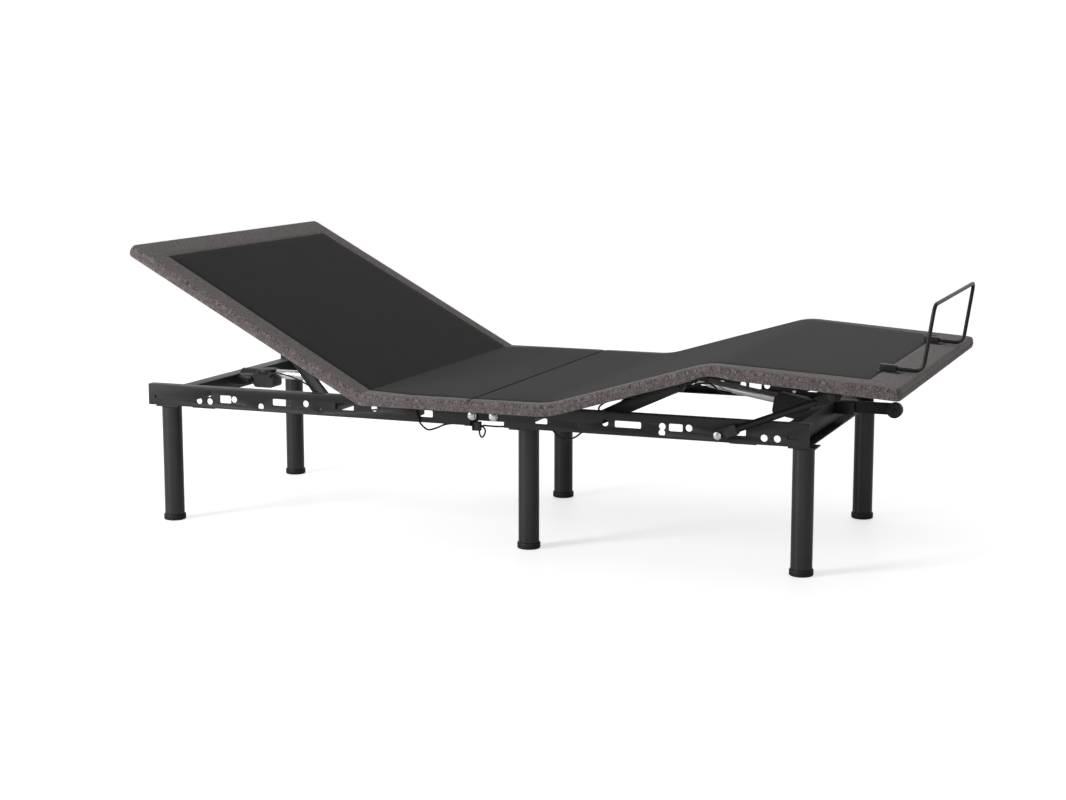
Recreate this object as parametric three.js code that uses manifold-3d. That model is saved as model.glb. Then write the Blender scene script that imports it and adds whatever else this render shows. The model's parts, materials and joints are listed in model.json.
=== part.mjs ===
// Adjustable bed base: a two-part steel frame on six legs that carries a jointed, upholstered deck.
// Millimetres. +X runs along the bed to the foot end, +Y across it and +Z up. The base is drawn with its
// back and knees raised, standing on Z = 0. X is first measured from the middle of the flat deck, and the
// whole assembly is centred over the origin at the end of the file.
import * as THREE from "three";
import { mergeVertices } from "three/addons/utils/BufferGeometryUtils.js";
import Module from "manifold-3d";

const wasm = await Module();
wasm.setup();

// ---- Driving dimensions ------------------------------------------------------------------------------

const GAP = 0.3; // clearance between pieces that touch
const RUN = 0.4; // clearance of a pin in its hole, on the radius
const BOTH_SIDES = [["near", -1], ["far", 1]];

// Legs
const LEG_RADIUS = 25.5;
const LEG_WALL = 2;
const LEG_HEIGHT = 300;
const LEG_CAP_RADIUS = 28.5;
const LEG_CAP_HEIGHT = 16;
const LEG_CORNER_Y = 333;
const LEG_MIDDLE_Y = 304;

// Frame
const FRAME_HALF_WIDTH = 357;
const FRAME_HEAD_X = -980;
const FRAME_FOOT_X = 765;
const RAIL_HEIGHT = 54;
const RAIL_WALL = 3;
const RAIL_FLANGE = 24;
const LEG_PLATE = 3.2;
const BEAM_WALL = 3;
const BEAM_HEIGHT = 38;
const HOLE_RADIUS = 8.5;

// Shipping fold, half way along the frame
const FOLD_HEAD_X = -69;
const FOLD_FOOT_X = -13;
const FOLD_EAR = 12;
const FOLD_PLATE = 6;
const BOLT_RADIUS = 5;
const BOLT_HEAD_RADIUS = 10;
const BOLT_HEAD_HEIGHT = 7;

// Deck
const DECK_HALF_WIDTH = 492;
const DECK_THICKNESS = 30.6;
const DECK_EDGE = 9;
const DECK_CORNER = 22;
const SEAM_GAP = 0.5;
const BACK_LENGTH = 713;
const BACK_HINGE_X = -303;
const SEAT_SEAM_X = -22;
const THIGH_HINGE_X = 172;
const THIGH_LENGTH = 401.3;
const FOOT_LENGTH = 441.5;
const KNEE_DROP = 4; // depth of the knee axis under the deck top

// Angles as drawn, in degrees
const BACK_RAISED = 28.5;
const BACK_TOP = 58.5;
const THIGH_RAISED = 16.6;
const THIGH_TOP = 32;
const FOOT_SLOPE = 4.1;

// Lift arms and their rollers
const ARM_Y = 300;
const ARM_THICKNESS = 8;
const ROLLER_RADIUS = 12;
const ROLLER_WIDTH = 20;
const ROLLER_PIN = 4;
const CROSS_TUBE_RADIUS = 14;
const STUB_RADIUS = 6;
const BACK_ARM_PIVOT_X = -480;
const BACK_ARM_PIVOT_RISE = 12; // above the bottom of the rail
const BACK_ARM_REACH = 240;
const LEG_ARM_PIVOT_X = 209;
const LEG_ARM_PIVOT_RISE = 16;
const LEG_ARM_REACH = 254;
const PAD_MINIMUM = 1.5;
const PAD_LEAD = 16;

// Actuators
const BACK_LEVER_LENGTH = 38;
const BACK_LEVER_ANGLE = 95;
const BACK_LEVER_WIDTH = 12.3;
const BACK_ROD_TRAVEL = 52.7; // per radian of the back's turn
const BACK_SLOT_HALF = 5.2;
const BACK_ROD_PIN = 4;
const BACK_ROD_OFFSET = -5.5; // place of the rod pin along the slot, as drawn
const BACK_MOTOR_PIVOT_X = -870;
const BACK_ROD_RISE = 3.6; // the fork's pin stands this far above the rod
const LEG_LEVER_LENGTH = 190;
const LEG_LEVER_ANGLE = 24;
const LEG_LEVER_WIDTH = 13.2;
const LEG_ROD_TRAVEL = 106; // per radian of the thigh's turn
const LEG_MOTOR_RATIO = -0.516;
const SLOT_CLEARANCE = 0.6;
const LEG_SLOT_HALF = 7;
const LEG_ROD_PIN = 5;
const LEG_ROD_OFFSET = -6.7;
const LEG_MOTOR_PIVOT_X = 698;
const LEG_MOTOR_PIVOT_RISE = 36;
const LEVER_THICKNESS = 8;
const LEVER_SPREAD = 15; // the leg lever is a pair of plates that clear the actuator between them
const ROD_RADIUS = 8;
const SLIM_TUBE_RADIUS = 11;
const OUTER_TUBE_RADIUS = 12.5;
const LEAD_RADIUS = 2.2;

// Foot links
const LINK_PIVOT_BACK = 17; // the lower pivot lies this far behind the flat knee
const LINK_EYE_ALONG = 265.8;
const LINK_EYE_DROP = 52.9;
const LINK_EYE_HOLE = 7.6;
const LINK_BAR_RADIUS = 8.5;

// Foot end support
const SUPPORT_ROLLER_X = 882;
const SUPPORT_ROLLER_RADIUS = 19;
const SUPPORT_Y = 50;

// Mattress retainer
const RETAINER_HALF_WIDTH = 273;
const RETAINER_HEIGHT = 163;
const RETAINER_ROD = 4.75;
const RETAINER_BEND = 22;
const RETAINER_LEAN = 4;

// ---- Levels and places that follow from them ---------------------------------------------------------

const RAIL_BOTTOM = LEG_HEIGHT + GAP + LEG_PLATE + 2 * GAP;
const RAIL_TOP = RAIL_BOTTOM + RAIL_HEIGHT;
const DECK_BOTTOM = RAIL_TOP + RUN;
const DECK_TOP = DECK_BOTTOM + DECK_THICKNESS;
const FOLD_Z = RAIL_BOTTOM + 25;
const HOLE_LINE = RAIL_BOTTOM + 27;
const INNER_HALF_WIDTH = FRAME_HALF_WIDTH - RAIL_FLANGE - GAP;
const BACK_ARM_PIVOT = new THREE.Vector2(BACK_ARM_PIVOT_X, RAIL_BOTTOM + BACK_ARM_PIVOT_RISE);
const LEG_ARM_PIVOT = new THREE.Vector2(LEG_ARM_PIVOT_X, RAIL_BOTTOM + LEG_ARM_PIVOT_RISE);
const LEG_MOTOR_PIVOT = new THREE.Vector2(LEG_MOTOR_PIVOT_X, RAIL_BOTTOM + LEG_MOTOR_PIVOT_RISE);
const LEG_HEAD_X = FRAME_HEAD_X + 54;
const LEG_FOOT_X = FRAME_FOOT_X - 18;
const LEG_MIDDLE_HEAD_X = FOLD_HEAD_X - 10;
const LEG_MIDDLE_FOOT_X = FOLD_FOOT_X + 71;

const radians = THREE.MathUtils.degToRad;
const degrees = THREE.MathUtils.radToDeg;

// A point at a distance and an angle, measured from +X up towards +Z.
function polar(distance, angle) {
  return new THREE.Vector2(distance * Math.cos(radians(angle)), distance * Math.sin(radians(angle)));
}

// The angle of a lift arm whose roller meets the underside of a panel hinged at hinge, raised by lift.
function contactAngle(hinge, pivot, reach, drop, lift) {
  const along = polar(1, lift);
  const down = polar(1, lift - 90);
  const start = hinge.clone().addScaledVector(down, drop).sub(pivot);
  const middle = start.dot(along);
  const slide = -middle + Math.sqrt(middle * middle - start.lengthSq() + reach * reach);
  const centre = start.addScaledVector(along, slide);
  return degrees(Math.atan2(centre.y, centre.x));
}

// Both arms turn at a constant ratio to their panel. The back arm is worked out mirrored in X.
const BACK_DROP = DECK_THICKNESS + PAD_MINIMUM + ROLLER_RADIUS + 0.5;
const BACK_HINGE_MIRRORED = new THREE.Vector2(-BACK_HINGE_X, DECK_TOP);
const BACK_PIVOT_MIRRORED = new THREE.Vector2(-BACK_ARM_PIVOT.x, BACK_ARM_PIVOT.y);
const backContact = (lift) =>
  contactAngle(BACK_HINGE_MIRRORED, BACK_PIVOT_MIRRORED, BACK_ARM_REACH, BACK_DROP, lift);
const BACK_ARM_FLAT = backContact(0);
const BACK_ARM_RATIO = (backContact(BACK_TOP) - BACK_ARM_FLAT) / BACK_TOP;
const BACK_ARM_ANGLE = BACK_ARM_FLAT + BACK_ARM_RATIO * BACK_RAISED;

const THIGH_HINGE = new THREE.Vector2(THIGH_HINGE_X, DECK_TOP);
const LEG_DROP = DECK_THICKNESS + ROLLER_RADIUS + 0.6;
const legContact = (lift) => contactAngle(THIGH_HINGE, LEG_ARM_PIVOT, LEG_ARM_REACH, LEG_DROP, lift);
const LEG_ARM_FLAT = legContact(0);
const LEG_ARM_RATIO = (legContact(THIGH_TOP) - LEG_ARM_FLAT) / THIGH_TOP;
const LEG_ARM_ANGLE = LEG_ARM_FLAT + LEG_ARM_RATIO * THIGH_RAISED;

// Knee axis and link eye, flat and as drawn. The lower link pivot is level with both by a common length.
function kneeAt(lift) {
  return THIGH_HINGE.clone().add(polar(THIGH_LENGTH, lift)).add(polar(KNEE_DROP, lift - 90));
}
function eyeAt(lift, slope) {
  return kneeAt(lift).add(polar(LINK_EYE_ALONG, -slope)).add(polar(LINK_EYE_DROP, -slope - 90));
}
const EYE_FLAT = eyeAt(0, 0);
const EYE_RAISED = eyeAt(THIGH_RAISED, FOOT_SLOPE);
const LINK_PIVOT = new THREE.Vector2(kneeAt(0).x - LINK_PIVOT_BACK, 0);
LINK_PIVOT.y =
  (EYE_FLAT.lengthSq() - EYE_RAISED.lengthSq() - 2 * LINK_PIVOT.x * (EYE_FLAT.x - EYE_RAISED.x)) /
  (2 * (EYE_FLAT.y - EYE_RAISED.y));
const LINK_LENGTH = EYE_RAISED.distanceTo(LINK_PIVOT);
const LINK_ANGLE = degrees(Math.atan2(EYE_RAISED.y - LINK_PIVOT.y, EYE_RAISED.x - LINK_PIVOT.x));

// Rod pins, which ride in the slotted levers.
const BACK_LEVER_END = BACK_ARM_PIVOT.clone().add(polar(BACK_LEVER_LENGTH, BACK_LEVER_ANGLE));
const BACK_ROD_END = BACK_LEVER_END.clone().add(polar(BACK_ROD_OFFSET, BACK_LEVER_ANGLE));
const LEG_LEVER_END = LEG_ARM_PIVOT.clone().add(polar(LEG_LEVER_LENGTH, LEG_LEVER_ANGLE));
const LEG_ROD_END = LEG_LEVER_END.clone().add(polar(LEG_ROD_OFFSET, LEG_LEVER_ANGLE));
const LEG_MOTOR_TILT = 180 - degrees(Math.atan2(
  LEG_ROD_END.y - LEG_MOTOR_PIVOT.y,
  LEG_ROD_END.x - LEG_MOTOR_PIVOT.x,
));
const LEG_MOTOR_SPAN = LEG_ROD_END.distanceTo(LEG_MOTOR_PIVOT);

// ---- Materials ---------------------------------------------------------------------------------------

const finish = (color, roughness, metalness) =>
  new THREE.MeshStandardMaterial({ color, roughness, metalness });
const BLACK_STEEL = finish(0x17181a, 0.42, 0.55);
const BLACK_PLASTIC = finish(0x0d0d0e, 0.5, 0);
const BLACK_RUBBER = finish(0x111111, 0.85, 0);
const ZINC = finish(0xb9bcc0, 0.3, 1);
const ALUMINIUM = finish(0xc6c8cb, 0.35, 1);
const TWEED = finish(0x5b5150, 0.95, 0);

// ---- Shapes ------------------------------------------------------------------------------------------

const alongYBasis = new THREE.Matrix4().makeBasis(
  new THREE.Vector3(1, 0, 0),
  new THREE.Vector3(0, 0, 1),
  new THREE.Vector3(0, -1, 0),
);
const alongXBasis = new THREE.Matrix4().makeBasis(
  new THREE.Vector3(0, 1, 0),
  new THREE.Vector3(0, 0, 1),
  new THREE.Vector3(1, 0, 0),
);

function extrude(shape, depth, options = {}) {
  return new THREE.ExtrudeGeometry(shape, { depth, bevelEnabled: false, curveSegments: 6, ...options });
}

// A shape drawn in X and Z, given thickness from y0 to y1.
function plateY(shape, y0, y1, options) {
  const low = Math.min(y0, y1);
  const high = Math.max(y0, y1);
  return extrude(shape, high - low, options).applyMatrix4(alongYBasis).translate(0, high, 0);
}

// A shape drawn in Y and Z, given length from x0 to x1.
function barX(shape, x0, x1) {
  return extrude(shape, x1 - x0).applyMatrix4(alongXBasis).translate(x0, 0, 0);
}

function polygon(points) {
  return new THREE.Shape(points.map(([a, b]) => new THREE.Vector2(a, b)));
}

function box(x0, x1, y0, y1, z0, z1) {
  const size = [Math.abs(x1 - x0), Math.abs(y1 - y0), Math.abs(z1 - z0)];
  return new THREE.BoxGeometry(...size).translate((x0 + x1) / 2, (y0 + y1) / 2, (z0 + z1) / 2);
}

function cylinderY(x, z, radius, y0, y1, sides = 20) {
  return new THREE.CylinderGeometry(radius, radius, Math.abs(y1 - y0), sides).translate(x, (y0 + y1) / 2, z);
}

function cylinderZ(x, y, radius, z0, z1, sides = 28) {
  return new THREE.CylinderGeometry(radius, radius, z1 - z0, sides)
    .rotateX(Math.PI / 2)
    .translate(x, y, (z0 + z1) / 2);
}

// A shape turned about the X axis, from points of distance along X and radius.
function turnedX(profile, sides = 20) {
  const points = profile.map(([along, radius]) => new THREE.Vector2(radius, along));
  return new THREE.LatheGeometry(points, sides).rotateZ(-Math.PI / 2);
}

// Two round ends of unlike size with straight sides between them.
function taperedBar(x0, z0, r0, x1, z1, r1) {
  const heading = Math.atan2(z1 - z0, x1 - x0);
  const spread = Math.acos((r0 - r1) / Math.hypot(x1 - x0, z1 - z0));
  const shape = new THREE.Shape();
  shape.absarc(x0, z0, r0, heading + spread, heading - spread + 2 * Math.PI, false);
  shape.absarc(x1, z1, r1, heading - spread, heading + spread, false);
  return shape;
}

function roundedRectangle(x0, x1, y0, y1, radius) {
  const shape = new THREE.Shape();
  shape.absarc(x1 - radius, y1 - radius, radius, 0, Math.PI / 2, false);
  shape.absarc(x0 + radius, y1 - radius, radius, Math.PI / 2, Math.PI, false);
  shape.absarc(x0 + radius, y0 + radius, radius, Math.PI, 1.5 * Math.PI, false);
  shape.absarc(x1 - radius, y0 + radius, radius, 1.5 * Math.PI, 2 * Math.PI, false);
  return shape;
}

// A path whose samples are exactly the given points, so that straight stretches stay plain.
class BentPath extends THREE.Curve {
  constructor(points) {
    super();
    this.points = points;
  }
  getPoint(t, target = new THREE.Vector3()) {
    const place = t * (this.points.length - 1);
    const index = Math.min(Math.floor(place), this.points.length - 2);
    return target.lerpVectors(this.points[index], this.points[index + 1], place - index);
  }
  getPointAt(t, target) {
    return this.getPoint(t, target);
  }
  getTangentAt(t, target) {
    return this.getTangent(t, target);
  }
}

// Corner points with each inner corner rounded to a radius.
function roundedCorners(corners, radius, steps = 5) {
  const points = [corners[0]];
  for (let i = 1; i < corners.length - 1; i += 1) {
    const before = corners[i - 1].clone().sub(corners[i]).normalize();
    const after = corners[i + 1].clone().sub(corners[i]).normalize();
    const start = corners[i].clone().addScaledVector(before, radius);
    const end = corners[i].clone().addScaledVector(after, radius);
    const bend = new THREE.QuadraticBezierCurve3(start, corners[i], end);
    points.push(...bend.getPoints(steps));
  }
  points.push(corners[corners.length - 1]);
  return points;
}

function rodAlong(points, radius, sides = 8) {
  const section = new THREE.Shape();
  section.absarc(0, 0, radius, 0, 2 * Math.PI, false);
  return new THREE.ExtrudeGeometry(section, {
    steps: points.length - 1,
    extrudePath: new BentPath(points),
    curveSegments: sides / 2,
  });
}

// ---- Joining and cutting -----------------------------------------------------------------------------

function toSolid(geometry) {
  const bare = geometry.clone();
  bare.deleteAttribute("normal");
  bare.deleteAttribute("uv");
  const merged = mergeVertices(bare, 1e-4);
  return new wasm.Manifold(new wasm.Mesh({
    numProp: 3,
    vertProperties: new Float32Array(merged.attributes.position.array),
    triVerts: new Uint32Array(merged.index.array),
  }));
}

function toGeometry(solid) {
  const { numProp, vertProperties, triVerts } = solid.getMesh();
  const places = new Float32Array((vertProperties.length / numProp) * 3);
  for (let i = 0; i < places.length / 3; i += 1) {
    places.set(vertProperties.subarray(i * numProp, i * numProp + 3), i * 3);
  }
  const geometry = new THREE.BufferGeometry();
  geometry.setAttribute("position", new THREE.BufferAttribute(places, 3));
  geometry.setIndex(new THREE.BufferAttribute(new Uint32Array(triVerts), 1));
  geometry.computeVertexNormals();
  return geometry;
}

function shaped(added, removed = []) {
  let solid = toSolid(added[0]);
  for (const piece of added.slice(1)) solid = solid.add(toSolid(piece));
  for (const piece of removed) solid = solid.subtract(toSolid(piece));
  return toGeometry(solid);
}

// ---- Assembly groups ---------------------------------------------------------------------------------

const base = new THREE.Group();

// A group at a pivot, turned so that its local +X points up at an angle.
function turnedGroup(parent, x, z, angle) {
  const group = new THREE.Group();
  group.position.set(x, 0, z);
  group.rotation.y = -radians(angle);
  parent.add(group);
  return group;
}

function add(parent, name, material, geometry) {
  const mesh = new THREE.Mesh(geometry, material);
  mesh.name = name;
  parent.add(mesh);
}

// ---- Legs --------------------------------------------------------------------------------------------

function addLeg(place, x, y) {
  const foot = LEG_CAP_HEIGHT + GAP;
  const tube = new THREE.LatheGeometry([
    new THREE.Vector2(LEG_RADIUS - LEG_WALL, foot),
    new THREE.Vector2(LEG_RADIUS, foot),
    new THREE.Vector2(LEG_RADIUS, LEG_HEIGHT),
    new THREE.Vector2(LEG_RADIUS - LEG_WALL, LEG_HEIGHT),
    new THREE.Vector2(LEG_RADIUS - LEG_WALL, foot),
  ], 28).rotateX(Math.PI / 2).translate(x, y, 0);
  add(base, `leg_${place}`, BLACK_STEEL, tube);
  const cap = new THREE.LatheGeometry([
    new THREE.Vector2(0, 0),
    new THREE.Vector2(LEG_CAP_RADIUS - 2, 0),
    new THREE.Vector2(LEG_CAP_RADIUS, 2),
    new THREE.Vector2(LEG_CAP_RADIUS, LEG_CAP_HEIGHT - 2),
    new THREE.Vector2(LEG_CAP_RADIUS - 2, LEG_CAP_HEIGHT),
    new THREE.Vector2(0, LEG_CAP_HEIGHT),
  ], 28).rotateX(Math.PI / 2).translate(x, y, 0);
  add(base, `leg_cap_${place}`, BLACK_RUBBER, cap);
}

addLeg("head_near", LEG_HEAD_X, -LEG_CORNER_Y);
addLeg("head_far", LEG_HEAD_X, LEG_CORNER_Y);
addLeg("middle_far", LEG_MIDDLE_HEAD_X, LEG_MIDDLE_Y);
addLeg("middle_near", LEG_MIDDLE_FOOT_X, -LEG_MIDDLE_Y);
addLeg("foot_near", LEG_FOOT_X, -LEG_CORNER_Y);
addLeg("foot_far", LEG_FOOT_X, LEG_CORNER_Y);

// ---- Side rails --------------------------------------------------------------------------------------

// Windows are [centre x, height above the hole line, length, height]; holes are [centre x, height].
const HEAD_WINDOWS = [[-950, -6, 24, 9], [-753, -2, 33, 20], [-590, -1, 55, 17], [-415, -1, 52, 17],
  [-191, -5, 34, 17]];
const HEAD_HOLES = [[-830, -10], [-799, -10], [-801, 10], [-728, -1], [-651, -15], [-523, 0], [-333, 0],
  [-222, 11]];
const FOOT_WINDOWS = [[110, -5, 32, 14], [329, 0, 66, 16], [447, 0, 34, 18], [600, -1, 32, 16],
  [726, -6, 25, 9]];
const FOOT_HOLES = [[272, 1], [414, 1], [413, -14], [479, 1], [659, -11], [690, -11]];

function channel(side) {
  const outer = side * FRAME_HALF_WIDTH;
  const web = side * (FRAME_HALF_WIDTH - RAIL_WALL);
  const lip = side * (FRAME_HALF_WIDTH - RAIL_FLANGE);
  return polygon([
    [outer, RAIL_BOTTOM], [outer, RAIL_TOP], [lip, RAIL_TOP], [lip, RAIL_TOP - RAIL_WALL],
    [web, RAIL_TOP - RAIL_WALL], [web, RAIL_BOTTOM + RAIL_WALL], [lip, RAIL_BOTTOM + RAIL_WALL],
    [lip, RAIL_BOTTOM],
  ]);
}

function rail(side, x0, x1, windows, holes, pins, notch, tab) {
  const outside = side * (FRAME_HALF_WIDTH + 5);
  const inside = side * (FRAME_HALF_WIDTH - RAIL_WALL - 5);
  const cuts = windows.map(([x, rise, length, height]) => plateY(
    roundedRectangle(x - length / 2, x + length / 2, HOLE_LINE + rise - height / 2,
      HOLE_LINE + rise + height / 2, 3.5),
    outside, inside, { curveSegments: 2 },
  ));
  for (const [x, rise] of holes) {
    cuts.push(cylinderY(x, HOLE_LINE + rise, HOLE_RADIUS, outside, inside, 12));
  }
  for (const [x, z, radius] of pins) {
    cuts.push(cylinderY(x, z, radius + RUN, outside, inside, 16));
  }
  cuts.push(box(notch[0], notch[1], outside, side * (INNER_HALF_WIDTH - 5), RAIL_BOTTOM - 5, FOLD_Z - 11));
  const shelf = box(tab - 32, tab + 32, side * (FRAME_HALF_WIDTH - 2), side * (INNER_HALF_WIDTH + 2),
    RAIL_BOTTOM - 2, RAIL_BOTTOM + RAIL_WALL);
  return shaped([barX(channel(side), x0, x1), shelf], cuts);
}

for (const [name, side] of BOTH_SIDES) {
  const headPins = [[FOLD_HEAD_X, FOLD_Z, BOLT_RADIUS],
    [BACK_ARM_PIVOT.x, BACK_ARM_PIVOT.y, STUB_RADIUS]];
  const footPins = [[FOLD_FOOT_X, FOLD_Z, BOLT_RADIUS], [LEG_ARM_PIVOT.x, LEG_ARM_PIVOT.y, STUB_RADIUS],
    [LINK_PIVOT.x, LINK_PIVOT.y, BOLT_RADIUS]];
  const headNotch = [FOLD_HEAD_X - 6, FOLD_HEAD_X + 40];
  const footNotch = [FOLD_FOOT_X - 40, FOLD_FOOT_X + 27];
  add(base, `head_rail_${name}`, BLACK_STEEL, rail(side, FRAME_HEAD_X, FOLD_HEAD_X + FOLD_EAR,
    HEAD_WINDOWS, HEAD_HOLES, headPins, headNotch, -820));
  add(base, `foot_rail_${name}`, BLACK_STEEL, rail(side, FOLD_FOOT_X - FOLD_EAR + 1, FRAME_FOOT_X,
    FOOT_WINDOWS, FOOT_HOLES, footPins, footNotch, 608));
}

// ---- Cross beams, with the plates that the legs bolt to ----------------------------------------------

const BEAM_BOTTOM = RAIL_BOTTOM - 2 * GAP - 0.2;
const PLATE_TOP = RAIL_BOTTOM - GAP;
const PLATE_BOTTOM = LEG_HEIGHT + GAP;

function upturnedChannel(x0, x1, top) {
  return polygon([
    [x0, BEAM_BOTTOM], [x0, top], [x1, top], [x1, BEAM_BOTTOM], [x1 - BEAM_WALL, BEAM_BOTTOM],
    [x1 - BEAM_WALL, top - BEAM_WALL], [x0 + BEAM_WALL, top - BEAM_WALL], [x0 + BEAM_WALL, BEAM_BOTTOM],
  ]);
}

function legPlate(x, y) {
  const outer = Math.sign(y) * FRAME_HALF_WIDTH;
  return box(x - 32, x + 32, y - Math.sign(y) * 31, outer, PLATE_BOTTOM, PLATE_TOP);
}

function beam(shape) {
  return plateY(shape, -INNER_HALF_WIDTH, INNER_HALF_WIDTH);
}

const BEAM_TOP = RAIL_BOTTOM + BEAM_HEIGHT;
const HEAD_BEAM_X = LEG_HEAD_X;
const HEAD_MIDDLE_X = LEG_MIDDLE_HEAD_X - 22;
const FOOT_MIDDLE_X = LEG_MIDDLE_FOOT_X - 21;
const FOOT_WEB_X = FRAME_FOOT_X - 28;


// The back actuator's motor hangs between two cheeks welded to the head end beam, on a cross pin.
const MOTOR_CHEEK_Y = 27;
const motorPinZ = BACK_ROD_END.y - BACK_ROD_RISE - 18;
const motorCheek = taperedBar(HEAD_BEAM_X, motorPinZ, 11, BACK_MOTOR_PIVOT_X, motorPinZ, 10.99);
add(base, "head_end_beam", BLACK_STEEL, shaped([
  beam(upturnedChannel(HEAD_BEAM_X - 20, HEAD_BEAM_X + 20, BEAM_TOP)),
  legPlate(LEG_HEAD_X, -LEG_CORNER_Y),
  legPlate(LEG_HEAD_X, LEG_CORNER_Y),
  ...BOTH_SIDES.map(([, side]) =>
    plateY(motorCheek, side * MOTOR_CHEEK_Y, side * (MOTOR_CHEEK_Y + 4))),
  cylinderY(BACK_MOTOR_PIVOT_X, motorPinZ, ROLLER_PIN, -MOTOR_CHEEK_Y - 10, MOTOR_CHEEK_Y + 10, 16),
]));
const foldRelief = box(FOLD_HEAD_X - 28, FOLD_HEAD_X + 30, FRAME_HALF_WIDTH - RAIL_WALL - FOLD_PLATE - 2,
  FRAME_HALF_WIDTH + 1, PLATE_BOTTOM - 1, PLATE_TOP + 1);
add(base, "head_middle_beam", BLACK_STEEL, shaped([
  beam(upturnedChannel(HEAD_MIDDLE_X - 17, HEAD_MIDDLE_X + 17, BEAM_TOP)),
  legPlate(LEG_MIDDLE_HEAD_X, LEG_MIDDLE_Y),
], [foldRelief]));
add(base, "foot_middle_beam", BLACK_STEEL, shaped([
  beam(upturnedChannel(FOOT_MIDDLE_X - 17, FOOT_MIDDLE_X + 17, BEAM_TOP)),
  legPlate(LEG_MIDDLE_FOOT_X, -LEG_MIDDLE_Y),
]));

const footBeamSection = polygon([
  [FOOT_WEB_X - 25, RAIL_TOP], [FOOT_WEB_X, RAIL_TOP], [FOOT_WEB_X, BEAM_BOTTOM + BEAM_WALL],
  [FRAME_FOOT_X, BEAM_BOTTOM + BEAM_WALL], [FRAME_FOOT_X, BEAM_BOTTOM],
  [FOOT_WEB_X - BEAM_WALL, BEAM_BOTTOM], [FOOT_WEB_X - BEAM_WALL, RAIL_TOP - BEAM_WALL],
  [FOOT_WEB_X - 25, RAIL_TOP - BEAM_WALL],
]);
add(base, "foot_end_beam", BLACK_STEEL, shaped([
  beam(footBeamSection),
  legPlate(LEG_FOOT_X, -LEG_CORNER_Y),
  legPlate(LEG_FOOT_X, LEG_CORNER_Y),
]));

// ---- Shipping fold: two plates, four bolts -----------------------------------------------------------

function boltY(x, z, side, shank, radius = BOLT_RADIUS, headRadius = BOLT_HEAD_RADIUS) {
  const face = side * (FRAME_HALF_WIDTH + GAP);
  const head = cylinderY(x, z, headRadius, face, face + side * BOLT_HEAD_HEIGHT, 6);
  const washer = cylinderY(x, z, headRadius + 1.5, face, face + side * 1.5, 16);
  return shaped([head, washer, cylinderY(x, z, radius, face + side, face - side * shank, 16)]);
}

for (const [name, side] of BOTH_SIDES) {
  const face = side * (FRAME_HALF_WIDTH - RAIL_WALL - GAP);
  const plate = plateY(
    taperedBar(FOLD_HEAD_X, FOLD_Z, FOLD_EAR, FOLD_FOOT_X, FOLD_Z, FOLD_EAR - 0.01),
    face, face - side * FOLD_PLATE,
  );
  const bores = [FOLD_HEAD_X, FOLD_FOOT_X].map((x) =>
    cylinderY(x, FOLD_Z, BOLT_RADIUS + RUN, face + side * 5, face - side * (FOLD_PLATE + 5), 16));
  add(base, `fold_link_${name}`, BLACK_STEEL, shaped([plate], bores));
  const shank = RAIL_WALL + 2 * GAP + FOLD_PLATE + 8;
  add(base, `fold_bolt_head_${name}`, ZINC, boltY(FOLD_HEAD_X, FOLD_Z, side, shank));
  add(base, `fold_bolt_foot_${name}`, ZINC, boltY(FOLD_FOOT_X, FOLD_Z, side, shank));
}

// ---- Deck panels -------------------------------------------------------------------------------------

// A padded board from x0 to x1, its top at local Z = 0.
function deckPanel(x0, x1, corner = DECK_EDGE + 2) {
  const outline = roundedRectangle(x0, x1, -DECK_HALF_WIDTH, DECK_HALF_WIDTH, corner);
  return new THREE.ExtrudeGeometry(outline, {
    depth: DECK_THICKNESS - 2 * DECK_EDGE,
    bevelThickness: DECK_EDGE,
    bevelSize: DECK_EDGE,
    bevelOffset: -DECK_EDGE,
    bevelSegments: 3,
    curveSegments: 4,
  }).translate(0, 0, DECK_EDGE - DECK_THICKNESS);
}

add(base, "seat_panel_head", TWEED,
  deckPanel(BACK_HINGE_X + SEAM_GAP, SEAT_SEAM_X - SEAM_GAP).translate(0, 0, DECK_TOP));
add(base, "seat_panel_foot", TWEED,
  deckPanel(SEAT_SEAM_X + SEAM_GAP, THIGH_HINGE_X - SEAM_GAP).translate(0, 0, DECK_TOP));

// The roller path on the back panel, in the panel's own axes, gives the lift pads their curved underside.
function backRollerInPanel(lift) {
  const arm = 180 - BACK_ARM_FLAT - BACK_ARM_RATIO * lift;
  const centre = BACK_ARM_PIVOT.clone().add(polar(BACK_ARM_REACH, arm));
  const offset = centre.sub(new THREE.Vector2(BACK_HINGE_X, DECK_TOP));
  return offset.rotateAround(new THREE.Vector2(), radians(lift));
}

// The roller's highest reach at one place along the panel, over the whole travel of the back.
function rollerReach(x, clearance) {
  const radius = ROLLER_RADIUS + clearance;
  let reach = -Infinity;
  for (let i = 0; i <= 120; i += 1) {
    const centre = backRollerInPanel((BACK_TOP * i) / 120);
    const beside = Math.min(Math.abs(x - centre.x), radius / 2);
    if (Math.abs(x - centre.x) > radius * 1.6) continue;
    reach = Math.max(reach, centre.y + Math.sqrt(radius * radius - beside * beside));
  }
  return reach;
}

function liftPad(side) {
  const steps = 16;
  const ends = [backRollerInPanel(0).x, backRollerInPanel(BACK_TOP).x];
  const from = Math.min(...ends) - PAD_LEAD;
  const to = Math.max(...ends) + PAD_LEAD;
  const lower = [];
  for (let i = 0; i <= steps; i += 1) {
    const x = from + ((to - from) * i) / steps;
    lower.push([x, Math.min(rollerReach(x, 0.7), -DECK_THICKNESS - 0.6)]);
  }
  const top = -DECK_THICKNESS + 1;
  const outline = polygon([[from, top], ...lower, [to, top]]);
  return plateY(outline, side * (ARM_Y + ARM_THICKNESS / 2), side * (ARM_Y + 32));
}

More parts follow.
